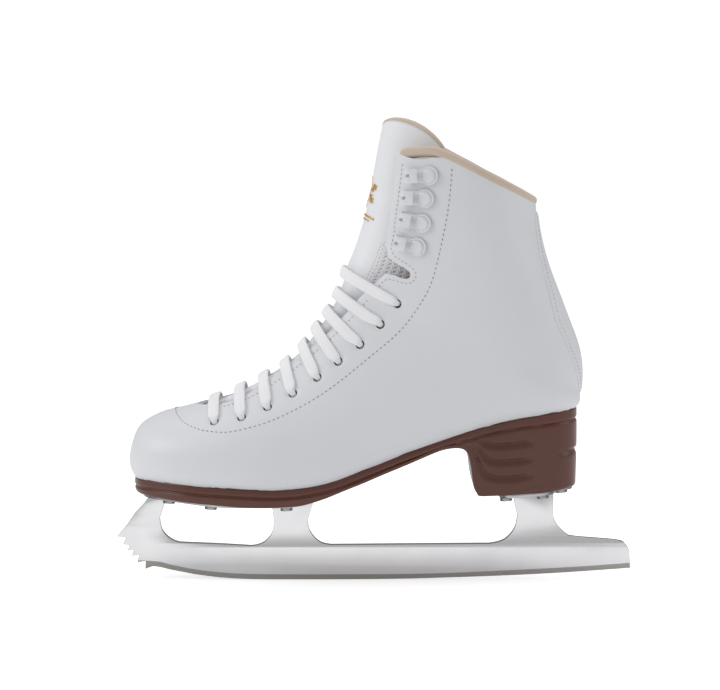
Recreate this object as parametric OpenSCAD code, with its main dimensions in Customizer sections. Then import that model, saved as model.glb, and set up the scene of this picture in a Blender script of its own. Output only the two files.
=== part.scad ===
// Figure skate: laced leather boot, moulded sole and heel, screwed-on blade.
// Toe towards -X, heel towards +X, +Z up, the ice at Z = 0, the blade in the plane Y = 0.

/* [Boot] */
// Length of the boot, from the tip of the toe to the back of the heel
boot_l = 261; // [225:1:315]
// Height of the boot, from the underside of the sole to the top of the tongue
boot_h = 220; // [185:1:264]
// Width of the boot across the ball of the foot
boot_w = 89.6; // [76:0.1:108]
// Thickness of the outer leather
leather_t = 1.8; // [1.5:0.1:2.2]
// Thickness of the facing behind the leather along the lacing
facing_t = 1.2; // [1:0.1:1.5]
// Thickness of the toe puff and the heel counter
stiffener_t = 1.4; // [1.1:0.1:1.7]
// Thickness of the lining
lining_t = 1; // [0.8:0.1:1.2]
// Depth from the outer leather to the lining where the shaft is padded
shaft_pad = 6.8; // [5.8:0.1:8]
// Gap left between one layer and the next
glue = 0.2; // [0.15:0.05:0.3]

/* [Sole] */
// Depth of the recess in the top of the sole that takes the boot
rim_h = 3.5; // [2.9:0.1:4.2]
// Thickness of the rim round that recess
rim_t = 2.2; // [1.8:0.1:2.6]
// Depth of the welt groove and of the grooves on the heel
groove_d = 0.8; // [0.6:0.1:1.1]
// Thickness of the insole board
board_t = 2.4; // [2:0.1:2.9]
// Thickness of the footbed
footbed_t = 4; // [3.3:0.1:4.8]

/* [Blade] */
// Height of the sole's underside above the ice, at the ball
blade_h = 48; // [42:1:56]
// Thickness of the runner
runner_t = 3.9; // [3.2:0.1:4.7]
// Thickness of the two mounting plates
plate_t = 2; // [1.7:0.1:2.4]
// Half width of the front plate
front_plate_w = 30; // [27:1:33]
// Half width of the heel plate
heel_plate_w = 22; // [20:1:25]
// Diameter of the screw shanks
screw_d = 3.6; // [3:0.1:4.3]
// Diameter of the screw heads
head_d = 7; // [6.2:0.1:8.4]
// Height of the screw heads
head_h = 2.2; // [1.8:0.1:2.6]
// Length of the front screws below their heads
front_screw_l = 10; // [8.4:0.1:12]
// Length of the heel screws below their heads
heel_screw_l = 19; // [16:0.5:23]

/* [Lacing] */
// Diameter of the punched eyelet holes
eyelet_d = 5.2; // [4.8:0.1:6.2]
// Width of the flat lace
lace_w = 7.2; // [6:0.1:8.4]
// Thickness of the lace
lace_t = 2.1; // [1.8:0.1:2.5]
// Width of a hook's arm
hook_w = 8; // [6.7:0.1:9.2]
// Thickness of a hook's sheet metal
hook_t = 0.9; // [0.8:0.05:1.1]
// Diameter of a hook's rivet head
rivet_d = 7.6; // [6.4:0.1:9]

/* [Tongue] */
// Half width of the tongue where it stands in the shaft
tongue_w = 20.4; // [17.5:0.1:22]
// Thickness of the tongue's outer leather and mesh
tongue_skin_t = 1.4; // [1.2:0.1:1.6]
// Thickness of the tongue's foam
tongue_foam_t = 4.6; // [3.8:0.1:5.4]

/* [Hidden] */

white = [0.92, 0.92, 0.93];
beige = [0.80, 0.73, 0.64];
brown = [0.36, 0.22, 0.18];
chrome = [0.80, 0.81, 0.83];
lateral = -1;
medial = 1;
fine = 48;

// The tables below are in the boot's own frame, at its nominal size: X along the foot,
// and the height above the underside of the sole at the ball.
nominal_l = 261;
nominal_h = 220;
nominal_w = 89.6;
kx = boot_l / nominal_l;
kz = boot_h / nominal_h;
ky = boot_w / nominal_w;
function side(p) = [p[0] * kx, blade_h + p[1] * kz];
function sides(pts) = [for (p = pts) side(p)];

// Sections of the boot from the toe to above the collar. Each is a plane across the boot through
// a front or top point and a bottom or back point:
// [front x, front z, back x, back z, half width, place of the widest point,
//  fullness towards the front, fullness towards the back, shift to the medial side]
sections = [
    [-141.3, 22, -141.3, 22, 0, 0.50, 2.1, 2.1, 6],
    [-139.4, 32.5, -139.4, 14.6, 15, 0.50, 2.1, 2.3, 6],
    [-134.5, 42.2, -134, 10.0, 26, 0.52, 2.1, 2.6, 5.6],
    [-122, 49.3, -121, 8.9, 35.5, 0.60, 2.1, 3.0, 4.2],
    [-105.5, 53.5, -103, 8.2, 41.5, 0.68, 2.1, 3.4, 2.4],
    [-85.6, 60, -80, 7.4, 44.3, 0.72, 2.1, 3.6, 0.6],
    [-66, 69.3, -55, 6.4, 44.8, 0.73, 2.0, 3.6, 0],
    [-48.3, 80.7, -24, 10.4, 41.8, 0.71, 2.0, 3.6, 0],
    [-34, 98, 18, 26, 38, 0.66, 2.0, 3.6, 0],
    [-24.5, 112, 66, 41.5, 36.5, 0.60, 2.0, 3.4, 0],
    [-18.5, 125, 112.8, 51.4, 36.5, 0.55, 2.05, 2.8, 0],
    [-15.5, 136, 118.4, 65.5, 37, 0.52, 2.1, 2.35, 0],
    [-10.3, 151, 117.3, 85.5, 38, 0.50, 2.15, 2.2, 0],
    [-5.7, 168, 108.5, 110, 39.5, 0.50, 2.2, 2.2, 0],
    [-2.2, 186.5, 98.8, 135.5, 41, 0.50, 2.2, 2.2, 0],
    [0.6, 203, 93.6, 156, 41.5, 0.50, 2.2, 2.2, 0],
    [3.5, 218, 92, 172.5, 41.5, 0.50, 2.2, 2.2, 0],
    [6, 232, 91, 188, 41.5, 0.50, 2.2, 2.2, 0]
];
v_top = len(sections) - 1;

// Upper edge of the sole's rim, toe to heel
lip_line = [
    [-150, 12.6], [-115, 12.6], [-96, 11.7], [-78, 11.1], [-51, 10.2], [-34, 12], [-20, 15.2],
    [-2, 22], [15.5, 28.7], [33.4, 35.3], [51.3, 41.2], [66, 45.2], [82.7, 49.1], [101, 51.8],
    [112, 53.2], [130, 55.4]
];
// Underside of the forefoot, the waist and the heel, toe to heel
forefoot_under = [[-150, 6], [-138, 3.9], [-124, 3.0], [-93, 1.2], [-72, 0], [-48, 0], [-30, 3.5]];
waist_under = [
    [-30, 3.5], [-24, 5.6], [-16, 8.8], [-7, 12.2], [2, 15.9], [11, 19.6], [20, 23.3],
    [29, 27.2], [38, 30.8]
];
breast_line = [[38, 30.8], [47, 32.2], [51.6, 31], [54.2, 28], [55.4, 20], [56.6, 11], [58.6, 6], [62.8, 4]];
heel_under = [[62.8, 4], [91.6, 5.6], [105, 6.8], [112, 7.5], [130, 9]];
// Edge of the throat and of the flex notch, from the vamp to the top of the shaft
throat_edge = [
    [-103, 54.6], [-100.3, 54.8], [-87.8, 56.6], [-74.7, 60.9], [-60.2, 69.7], [-47.2, 79.1],
    [-35.8, 88.7], [-24.5, 98.7], [-15.4, 109], [-7.5, 118], [1, 126.3], [4.4, 129.9], [6.6, 131.4],
    [10.9, 130.8], [14.8, 129.5], [17.8, 129], [19.8, 129.9], [20.2, 131.6], [19.1, 133.5],
    [16.5, 135.3], [13, 137.2], [9.3, 139.8], [7.2, 143.1], [6.9, 148.7], [7.8, 154.9],
    [8.3, 161.7], [9.7, 171.8], [12.3, 192.7], [12.9, 201.2], [13.4, 212]
];
// Line down the middle of the rolled collar, front to back
collar_line = [
    [14.1, 199.6], [21.1, 200.4], [31.1, 201], [36.7, 199.6], [43.4, 196.8], [53.5, 191.8],
    [63.6, 186.5], [74.8, 180.9], [86, 175], [93.4, 171.0]
];
// Facing: its inner edge and its outer edge, paired point by point from the vamp upwards
facing_inner = [
    [-100.6, 54.6], [-87.8, 56.0], [-74.7, 60.2], [-60.2, 68.9], [-47.2, 78.3], [-35.8, 87.9],
    [-24.5, 97.9], [-15.4, 108], [-7, 117.2], [4.4, 128.2], [15, 127.6], [22.2, 130.6],
    [14, 138.8], [8.2, 147], [9, 155], [10.6, 172], [13.2, 193], [13.4, 194.5]
];
facing_outer = [
    [-116, 51.0], [-109, 47], [-97, 42], [-78, 43.4], [-60, 48.5], [-44, 55.3], [-30, 63.5],
    [-16.4, 73.4], [-3.2, 84.2], [13, 98.5], [24, 112], [31, 124], [33.6, 132],
    [36, 141], [38.3, 153], [41, 167], [42.6, 182], [43.2, 193.5]
];
// Centres of the eyelets, from the toe, and of the hooks' rivets, with each hook's tilt
eyelet_at = [
    [-90.2, 48.1], [-74.7, 50.9], [-60.1, 56.6], [-45.9, 64.1], [-32.1, 73.2], [-20.3, 82.2],
    [-8, 91.7], [3.4, 103.1], [12.8, 114.9]
];
hook_at = [[24.3, 147.4, 10], [27, 160.7, 10], [28.5, 174.4, 2], [30.6, 187, 0]];

// Tongue in the shaft: [section, depth of its middle, half width, depth of its sides]
tongue_arch = [[9, 1.8, 19.6, 30], [9.8, 0.8, 20, 33], [10.6, 0.2, 20.2, 36], [11.5, 0, 20.4, 39], [18, 0, 20.4, 40]];
// Tongue under the vamp and the facings: [section, depth of its middle, angle of its edge]
tongue_under = [[3.9, 8, 18], [4.5, 7.8, 30], [5.2, 7.6, 37], [6.5, 7.2, 40], [7.5, 6.6, 45], [8.5, 4.4, 50], [9.5, 1.8, 54], [10.6, 0.2, 58]];
v_fold = 10.62;      // section at which the tongue folds
fold_gap = 0.03;     // half of the gap between the tongue's two parts, in sections
v_tongue = 4.0;      // section at which the tongue starts under the vamp

// ---- curves ----
function spline(a, b, c, d, t) =
    0.5 * (2 * b + (c - a) * t + (2 * a - 5 * b + 4 * c - d) * t * t
    + (3 * b - a - 3 * c + d) * t * t * t);
function at(table, k) = table[min(max(k, 0), len(table) - 1)];
function smooth(pts, n) = [
    for (i = [0 : len(pts) - 2], k = [0 : n - 1])
        spline(at(pts, i - 1), pts[i], pts[i + 1], at(pts, i + 2), k / n),
    pts[len(pts) - 1]
];
function unit(a) = a / max(norm(a), 1e-9);
function mix(a, b, t) = a + (b - a) * t;

// ---- the boot as sections ----
// The toe closes on itself, so the section before the tip is the mirror of the one after it
function mirrored(r) = [r[2], r[3], r[0], r[1], -r[4], r[5], r[6], r[7], r[8]];
function section_at(v) =
    let (
        i = min(max(floor(v), 0), v_top - 1),
        before = i == 0 ? mirrored(sections[1]) : sections[i - 1]
    )
    spline(before, sections[i], sections[i + 1], at(sections, i + 2), v - i);
function scaled(r) =
    concat(side([r[0], r[1]]), side([r[2], r[3]]), [r[4] * ky, r[5], r[6], r[7], r[8] * ky]);
function middle(r) = [mix(r[0], r[2], r[5]), mix(r[1], r[3], r[5])];
// Section v of the surface that lies d below the outer leather:
// [front, back, half width, widest place, fullness front, fullness back, shift]
function ring(v, d = 0) =
    let (
        r = scaled(section_at(v)),
        p = scaled(section_at(v + 0.02)),
        m = scaled(section_at(v - 0.02)),
        front_way = unit([p[0] - m[0], p[1] - m[1]]),
        back_way = unit([p[2] - m[2], p[3] - m[3]]),
        run = norm(middle(p) - middle(m)),
        steep = unit([run, p[4] - m[4]])[0]
    )
    [
        [r[0], r[1]] + d * [front_way[1], -front_way[0]],
        [r[2], r[3]] + d * [-back_way[1], back_way[0]],
        max(r[4] - d * steep, 0), r[5], r[6], r[7], r[8]
    ];
// Point of a section at angle a, from 0 at the front by 90 at the lateral side to 180 at the back
function on_ring(r, a) =
    let (
        c = cos(a),
        s = sin(a),
        n = c > 0 ? r[4] : r[5],
        q = pow(pow(abs(c), n) + pow(abs(s), n), -1 / n),
        t = r[3] - (c > 0 ? r[3] : 1 - r[3]) * q * c,
        p = mix(r[0], r[1], t)
    )
    [p[0], r[6] - r[2] * q * s, p[1]];
function ahead(r, p) =
    (r[1][0] - r[0][0]) * (p[1] - r[0][1]) - (r[1][1] - r[0][1]) * (p[0] - r[0][0]);
// Section that passes through the side-view point p
function section_of(p, d = 0, lo = 0.02, hi = v_top, n = 18) =
    n == 0 ? (lo + hi) / 2
    : ahead(ring((lo + hi) / 2, d), p) > 0 ? section_of(p, d, (lo + hi) / 2, hi, n - 1)
    : section_of(p, d, lo, (lo + hi) / 2, n - 1);
function place_on(r, p) =
    let (e = r[1] - r[0]) min(max(((p - r[0]) * e) / (e * e), 0), 1);
function reach(r, t) =
    let (
        n = t < r[3] ? r[4] : r[5],
        q = t < r[3] ? (r[3] - t) / r[3] : (t - r[3]) / (1 - r[3])
    )
    pow(max(1 - pow(q, n), 0), 1 / n);
// Point on the boot's side seen at p from the side, d below the outer leather
function on_side(p, which, d = 0) =
    let (r = ring(section_of(p, d), d))
    [p[0], r[6] + which * r[2] * reach(r, place_on(r, p)), p[1]];
// Angle of that point on its section
function angle_of(p, d = 0) =
    let (
        r = ring(section_of(p, d), d),
        t = place_on(r, p),
        s = reach(r, t),
        q = t < r[3] ? (r[3] - t) / r[3] : (t - r[3]) / (1 - r[3])
    )
    atan2(s, t < r[3] ? q : -q);
function outward(p, which, d = 0) =
    let (
        e = 0.8,
        dx = on_side(p + [e, 0], which, d)[1] - on_side(p - [e, 0], which, d)[1],
        dz = on_side(p + [0, e], which, d)[1] - on_side(p - [0, e], which, d)[1]
    )
    unit([-which * dx / (2 * e), which, -which * dz / (2 * e)] * 1);

// ---- solids from grids of points ----
function flat_list(l) = [for (a = l, b = a) b];
// Two triangles to each square of a grid of nj rows by ni points, from point number first
function grid_faces(first, nj, ni, flip) = [
    for (j = [0 : nj - 2], i = [0 : ni - 2])
        let (a = first + j * ni + i, b = a + 1, c = a + ni, d = c + 1)
        for (f = flip ? [[a, b, d], [a, d, c]] : [[a, d, b], [a, c, d]]) f
];
// Closed piece between an outer and an inner grid of the same size
module shell(outer, inner, flip = false) {
    nj = len(outer);
    ni = len(outer[0]);
    n = nj * ni;
    rim = concat(
        [for (i = [0 : ni - 2]) i],
        [for (j = [0 : nj - 2]) j * ni + ni - 1],
        [for (i = [ni - 1 : -1 : 1]) (nj - 1) * ni + i],
        [for (j = [nj - 1 : -1 : 1]) j * ni]
    );
    m = len(rim);
    walls = [
        for (k = [0 : m - 1])
            let (a = rim[k], b = rim[(k + 1) % m])
            for (f = flip ? [[a, b + n, b], [a, a + n, b + n]] : [[a, b, b + n], [a, b + n, a + n]]) f
    ];
    polyhedron(
        concat(flat_list(outer), flat_list(inner)),
        concat(grid_faces(0, nj, ni, flip), grid_faces(n, nj, ni, !flip), walls),
        convexity = 8
    );
}
// Closed piece through a list of rings that have the same number of points
module skin(rings) {
    n = len(rings[0]);
    m = len(rings);
    tube = [
        for (j = [0 : m - 2], i = [0 : n - 1])
            let (a = j * n + i, b = j * n + (i + 1) % n)
            for (f = [[a, b + n, b], [a, a + n, b + n]]) f
    ];
    ends = [[for (i = [0 : n - 1]) i], [for (i = [n - 1 : -1 : 0]) (m - 1) * n + i]];
    polyhedron(flat_list(rings), concat(ends, tube), convexity = 8);
}
function ring_points(r, n) = [for (i = [0 : n - 1]) on_ring(r, 360 * i / n)];
// Sections at which the shells are built, close together at the toe and round the heel
steps = [
    0.08, 0.35, 0.75, 1.3, 2, 2.8, 3.6, 4.35, 5.1, 5.8, 6.5, 7.2, 7.85, 8.4, 8.85, 9.25, 9.6, 9.95,
    10.3, 10.7, 11.1, 11.6, 12.3, 13.3, 14.5, 15.6, 16.6
];
function steps_within(lo, hi) = concat([lo], [for (v = steps) if (v > lo + 0.05 && v < hi - 0.05) v], [hi]);
// Cup-shaped shell from the toe to section last, between the depths d0 and d1
module cup(d0, d1, last, n) {
    vs = steps_within(steps[0], last);
    skin(concat(
        [for (v = vs) ring_points(ring(v, d0), n)],
        [for (k = [len(vs) - 1 : -1 : 0]) ring_points(ring(vs[k], d1), n)]
    ));
}
// Solid across the boot with the given side-view outline
module across(outline, half = 80) {
    rotate([90, 0, 0])
        linear_extrude(2 * half, center = true)
            polygon(outline);
}
// Faceted rod along Z from lo to hi
module rod(d, lo, hi, facets) {
    hull()
        for (z = [lo, hi])
            translate([0, 0, z]) cylinder(d = d, h = 0.1, $fn = facets);
}
// Moves a shape, drawn with Z outwards and X towards the throat, onto the boot's side
module on_boot(p, which, tilt = 0, lift = 0) {
    at_p = on_side(p, which);
    n = outward(p, which);
    ahead_way = [-cos(tilt), 0, sin(tilt)];
    x_way = unit(ahead_way - n * (ahead_way * n));
    y_way = cross(n, x_way);
    o = at_p + n * lift;
    multmatrix([
        [x_way[0], y_way[0], n[0], o[0]],
        [x_way[1], y_way[1], n[1], o[1]],
        [x_way[2], y_way[2], n[2], o[2]],
        [0, 0, 0, 1]
    ]) children();
}

// ---- sole outlines ----
lip = smooth(sides(lip_line), 4);
under = smooth(sides(forefoot_under), 3);
under_heel = sides(heel_under);
function height_on(line, x) = lookup(x, [for (p = line) [p[0], p[1]]]);
function floor_z(x) = height_on(lip, x) - rim_h;
function lip_end(lo, hi, which_end, n = 16) =
    n == 0 ? (lo + hi) / 2
    : let (m = (lo + hi) / 2, p = [m, height_on(lip, m)], y = inside(p))
        (y ? (which_end > 0 ? lip_end(m, hi, which_end, n - 1) : lip_end(lo, m, which_end, n - 1))
        : (which_end > 0 ? lip_end(lo, m, which_end, n - 1) : lip_end(m, hi, which_end, n - 1)));
function inside(p) =
    let (r = ring(section_of(p)), e = r[1] - r[0], t = ((p - r[0]) * e) / (e * e)) t > 0 && t < 1;
lip_x0 = lip_end(side([-143, 0])[0], side([-120, 0])[0], -1);
lip_x1 = lip_end(side([100, 0])[0], side([124, 0])[0], 1);
outline_n = 30;
outline_x = [for (i = [0 : outline_n]) mix(lip_x0, lip_x1, (1 - cos(180 * i / outline_n)) / 2)];
plan = concat(
    [for (i = [0 : outline_n]) let (x = outline_x[i]) [x, on_side([x, height_on(lip, x)], lateral)[1]]],
    [for (i = [outline_n - 1 : -1 : 1]) let (x = outline_x[i]) [x, on_side([x, height_on(lip, x)], medial)[1]]]
);
// The same outline moved inwards by d
function inset(pts, d) = [
    for (i = [0 : len(pts) - 1])
        let (
            n = len(pts),
            w = unit(pts[(i + 1) % n] - pts[(i + n - 1) % n])
        )
        pts[i] + d * [-w[1], w[0]]
];
module plan_prism(d = 0) {
    linear_extrude(blade_h + boot_h)
        polygon(inset(plan, d));
}
function band(line, lo, hi) = concat(
    [for (p = line) [p[0], p[1] + lo]],
    [for (i = [len(line) - 1 : -1 : 0]) [line[i][0], line[i][1] + hi]]
);
floor_line = [for (p = lip) [p[0], p[1] - rim_h]];
sole_outline = concat(
    lip,
    [for (i = [len(under_heel) - 1 : -1 : 1]) under_heel[i]],
    [for (l = [smooth(sides(breast_line), 3)], i = [len(l) - 1 : -1 : 1]) l[i]],
    [for (l = [smooth(sides(waist_under), 2)], i = [len(l) - 1 : -1 : 1]) l[i]],
    [for (i = [len(under) - 1 : -1 : 0]) under[i]]
);

// ---- screws ----
// [x, half the distance across the pair]; 0 is a single screw
front_pairs = [[-117.5, 11], [-92.8, 23], [-69.3, 10], [-50, 20]];
heel_pairs = [[75.5, 15], [96.5, 14], [108.2, 0]];
function screw_spots(pairs) = [
    for (p = pairs, s = p[1] == 0 ? [0] : [-1, 1]) [p[0] * kx, s * p[1] * ky]
];
function plate_under(x) = height_on(x > 40 * kx ? under_heel : under, x) - plate_t;
screw_clear = 0.1;
module at_screw(s) {
    slope = (plate_under(s[0] + 2) - plate_under(s[0] - 2)) / 4;
    translate([s[0], s[1], plate_under(s[0])])
        rotate([0, -atan(slope), 0])
            children();
}
module screw_set(pairs, length) {
    for (s = screw_spots(pairs))
        at_screw(s) {
            difference() {
                translate([0, 0, -head_h]) cylinder(d = head_d, h = head_h, $fn = fine);
                for (turn = [0, 90])
                    rotate([0, 0, turn])
                        translate([-head_d * 0.33, -0.5, -head_h - 1]) cube([head_d * 0.66, 1, 2.2]);
            }
            translate([0, 0, -0.01]) cylinder(d = screw_d, h = length - 2, $fn = fine);
            translate([0, 0, length - 2.01]) cylinder(d1 = screw_d, d2 = 0.8, h = 2, $fn = fine);
        }
}
module screw_holes(pairs, length) {
    for (s = screw_spots(pairs))
        at_screw(s)
            translate([0, 0, -6])
                cylinder(d = screw_d + 2 * screw_clear, h = length + 6.4, $fn = fine);
}

// ---- sole unit ----
module groove(strip) {
    difference() {
        across(strip);
        plan_prism(groove_d);
    }
}
welt_drop = 4.6;
welt_h = 0.9;
heel_grooves = [
    [[58, 39.5], [62, 36.6], [67.9, 34.4], [76, 34.6], [93.6, 36.5]],
    [[54.6, 37], [60, 31.6], [64, 27], [69, 24.8], [77, 25], [94.2, 26.6]],
    [[51.6, 36.8], [57.6, 30], [60.6, 23], [64, 17.6], [70, 15.2], [78, 15.4], [95.4, 17.4]]
];
groove_w = 1.5;
module sole_unit() {
    color(brown)
        difference() {
            intersection() {
                plan_prism();
                across(sole_outline);
            }
            intersection() {
                plan_prism(rim_t);
                across(band(floor_line, 0, 40));
            }
            groove(band(lip, -welt_drop - welt_h, -welt_drop));
            for (g = heel_grooves)
                groove(band(smooth(sides(g), 3), -groove_w, 0));
            groove(band(sides([[100, 29.2], [130, 31.4]]), -groove_w, 0));
            screw_holes(front_pairs, front_screw_l);
            screw_holes(heel_pairs, heel_screw_l);
        }
}

// ---- inside the bottom of the boot ----
// Depths of the layers from the outer leather
facing_d0 = leather_t + 0.95;
stiff_d0 = leather_t + 3 * glue;
lining_d0 = max(stiff_d0 + stiffener_t, facing_d0 + facing_t) + 3 * glue;
lining_d1 = lining_d0 + lining_t;
filler_x = [-98, 30];
filler_inset = 17;
filler_lo = 0.3;
board_lo = lining_d1 + 3 * glue;
footbed_lo = board_lo + board_t + glue;
// Layer of thickness t that fits inside the lining, h above the floor, from x0 to x1
function edge_of(x, h, which) =
    let (
        p = [x, floor_z(x) + h - 0.9],
        m = on_side(p, medial, lining_d1)[1],
        l = on_side(p, lateral, lining_d1)[1]
    )
    (m + l) / 2 + which * max((m - l) / 2 - 1.3, 0.3);
module layer(h, t, x0, x1, n = 20) {
    skin([
        for (i = [0 : n])
            let (x = mix(x0, x1, (1 - cos(180 * i / n)) / 2) * kx)
            concat(
                [for (q = [0, 0.3, 1]) [x, edge_of(x, h + q * t, medial), floor_z(x) + h + q * t]],
                [for (q = [1, 0.3, 0]) [x, edge_of(x, h + q * t, lateral), floor_z(x) + h + q * t]]
            )
    ]);
}
module filler_prism(clear) {
    intersection() {
        plan_prism(filler_inset + clear);
        across(sides([[filler_x[0], -40], [filler_x[1], -40], [filler_x[1], 200], [filler_x[0], 200]]));
    }
}
module bottom_filler() {
    color("tan")
        difference() {
            intersection() {
                filler_prism(0.4);
                across(band(floor_line, filler_lo, board_lo - glue));
            }
            screw_holes(front_pairs, front_screw_l);
        }
}
module insole_board() {
    color("sienna")
        layer(board_lo, board_t, -131, 107);
}
module footbed() {
    color("dimgray")
        layer(footbed_lo, footbed_t, -129.5, 105);
}

// ---- outer shell, facing and stiffeners ----
collar_h = 6.2;
collar_path = smooth(sides(collar_line), 2);
// The collar's line as sections against angles
rim_table = [
    for (i = [0 : len(collar_path) - 1])
        [i == len(collar_path) - 1 ? 180 : angle_of(collar_path[i]), section_of(collar_path[i])]
];
function rim_v(a) = lookup(a > 180 ? 360 - a : a, rim_table);
function speed(v, a) = norm(on_ring(ring(v + 0.1), a) - on_ring(ring(v - 0.1), a)) / 0.2;
cut_out = -8;
cut_in = 16;
// All that lies above the collar's line, less drop
module above_collar(drop) {
    loop = function (d, top) [
        for (i = [0 : 29])
            let (a = 12 * i, v = rim_v(a))
            on_ring(ring(top ? 16.9 : v - drop / speed(v, a), d), a)
    ];
    skin([loop(cut_in, false), loop(cut_out, false), loop(cut_out, true)]);
}
throat_path = sides(throat_edge);
// The opening between the two facings, cut square through the layers
module throat(back = 0) {
    rows = [
        for (p = throat_path)
            let (v = section_of(p), a = angle_of(p), r = ring(v))
            [v, a + back * 57.3 / max(norm(on_ring(r, a) - middle_of(r)), 10)]
    ];
    grid = function (d) [
        for (k = [0 : len(rows) - 1])
            let (r = ring(k == 0 ? rows[0][0] - 0.02 : rows[k][0], d), a = rows[k][1])
            [for (i = [-4 : 4]) on_ring(r, a * i / 4)]
    ];
    shell(grid(cut_out), grid(cut_in));
}
function middle_of(r) = let (p = mix(r[0], r[1], r[3])) [p[0], 0, p[1]];
// What the boot keeps clear of round its bottom edge: all that is below the lip and not in the recess
module rim_zone() {
    coarse = sides(lip_line);
    difference() {
        across(concat([for (p = coarse) [p[0], p[1] + 0.2]], sides([[140, -60], [-160, -60]])));
        intersection() {
            plan_prism(rim_t + 0.15);
            across(band(coarse, 0.25 - rim_h, 60));
        }
    }
}
module eyelet_rods(d, facets = 6) {
    for (p = sides(eyelet_at), w = [lateral, medial])
        on_boot(p, w) rod(d, -12, 5, facets);
}
module rivet_rods(d) {
    for (h = hook_at, w = [lateral, medial])
        on_boot(hook_spot(h), w, h[2], hook_lift)
            translate([-hook_mid, 0, 0]) rod(d, -7, 5, 6);
}
module lasting_opening() {
    intersection() {
        filler_prism(0);
        across(band(floor_line, -2, board_lo));
    }
}
around = 26;      // facets round the boot
module upper_outer() {
    color(white)
        difference() {
            cup(0, leather_t, 16.6, around);
            throat();
            above_collar(collar_h / 2 + 0.3);
            rim_zone();
            lasting_opening();
            eyelet_rods(eyelet_d, 8);
            rivet_rods(rivet_shank + 0.9);
            screw_holes(front_pairs, front_screw_l);
        }
}
function reversed(l) = [for (i = [len(l) - 1 : -1 : 0]) l[i]];
module facing_sheet(d0, d1) {
    a = smooth(sides(facing_inner), 2);
    b = smooth(sides(facing_outer), 2);
    rows = [for (k = [0 : len(a) - 1]) [angle_of(a[k]), section_of(a[k]), angle_of(b[k]), section_of(b[k])]];
    grid = function (s, d) [
        for (g = rows)
            [
                for (i = [0 : 3])
                    on_ring(ring(mix(g[1], g[3], i / 3), d), s * mix(g[0], g[2], i / 3))
            ]
    ];
    outer = concat(reversed(grid(1, d0)), grid(-1, d0));
    inner = concat(reversed(grid(1, d1)), grid(-1, d1));
    shell(outer, inner, true);
}
barrel_t = 0.35;
module eyestay_facing() {
    color("gainsboro")
        difference() {
            facing_sheet(facing_d0, facing_d0 + facing_t);
            eyelet_rods(eyelet_d + 2 * barrel_t + 1.3);
            rivet_rods(rivet_shank + 0.9);
        }
}
// Patch of the boot's wall: sections v0 to v1, angles from a0(v) to a1(v)
function wall(v0, v1, a0, a1, na, d) = [
    for (v = steps_within(v0, v1))
        let (r = ring(v, d))
        [for (i = [0 : na]) on_ring(r, mix(a0(v), a1(v), i / na))]
];
module backstay() {
    half = function (v) lookup(v, [
        [10.7, 12], [11.2, 21], [12, 33], [12.6, 37], [13.4, 32], [14.2, 26], [15, 21], [15.9, 17]
    ]);
    a0 = function (v) 180 - half(v);
    a1 = function (v) 180 + half(v);
    color(white)
        shell(
            wall(10.75, 15.55, a0, a1, 8, -1.4),
            wall(10.75, 15.55, a0, a1, 8, -0.3)
        );
}
module heel_counter() {
    a0 = function (v) lookup(v, [
        [8.7, 140], [9.2, 122], [10, 108], [11, 103], [12, 107], [12.8, 118], [13.4, 140]
    ]);
    a1 = function (v) 360 - a0(v);
    color("peru")
        shell(
            wall(8.7, 13.4, a0, a1, 16, stiff_d0),
            wall(8.7, 13.4, a0, a1, 16, stiff_d0 + stiffener_t)
        );
}
module toe_puff() {
    color("peru")
        cup(stiff_d0, stiff_d0 + stiffener_t, 3.4, around);
}
// Lining: thin behind the toe and the lacing, deeper where the shaft is padded
function lining_depth(v, a) =
    let (
        back = min(abs(a), 360 - abs(a)),
        up = min(max((v - 10.6) / 1.6, 0), 1),
        round = min(max((back - 62) / 30, 0), 1)
    )
    mix(lining_d0, shaft_pad, up * up * (3 - 2 * up) * round * round * (3 - 2 * round));
function lining_ring(v, extra, n) =
    let (shallow = ring(v, lining_d0 + extra), deep = ring(v, shaft_pad + extra))
    [
        for (i = [0 : n - 1])
            let (
                a = 360 * i / n,
                t = (lining_depth(v, a) - lining_d0) / max(shaft_pad - lining_d0, 0.01)
            )
            mix(on_ring(shallow, a), on_ring(deep, a), t)
    ];
module lining() {
    n = around;
    vs = steps_within(steps[0], 16.6);
    color(beige)
        difference() {
            skin(concat(
                [for (v = vs) lining_ring(v, 0, n)],
                [for (k = [len(vs) - 1 : -1 : 0]) lining_ring(vs[k], lining_t, n)]
            ));
            throat();
            above_collar(collar_h / 2 + 0.3);
            lasting_opening();
            eyelet_rods(eyelet_d + 2 * barrel_t + 1.3);
            screw_holes(front_pairs, front_screw_l);
        }
}
module ankle_pad(which) {
    a0 = function (v) lookup(v, [[13.5, 98], [14, 96], [15.1, 96]]);
    a1 = function (v) lookup(v, [[13.5, 146], [14.2, 152], [15.1, 152]]);
    outer = wall(13.55, 15.0, a0, a1, 6, stiff_d0);
    inner = wall(13.55, 15.0, a0, a1, 6, shaft_pad - 0.9);
    color("khaki")
        scale([1, which == lateral ? 1 : -1, 1])
            shell(outer, inner);
}
module ankle_pad_lateral() { ankle_pad(lateral); }
module ankle_pad_medial() { ankle_pad(medial); }
// Rolled collar: an oval section carried round the top edge of the shaft
module collar() {
    n = 18;
    a_front = rim_table[0][0];
    color(beige)
        skin([
            for (k = [0 : 2 * n])
                let (
                    a = mix(a_front, 360 - a_front, k / (2 * n)),
                    v = rim_v(a),
                    o = on_ring(ring(v, -0.7), a),
                    q = on_ring(ring(v, shaft_pad + 0.8), a),
                    c = (o + q) / 2,
                    w = (o - q) / 2,
                    up = unit(on_ring(ring(v + 0.1), a) - on_ring(ring(v - 0.1), a)) * collar_h / 2
                )
                [for (t = [0 : 9]) c + w * cos(36 * t) - up * sin(36 * t)]
        ]);
}

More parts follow.
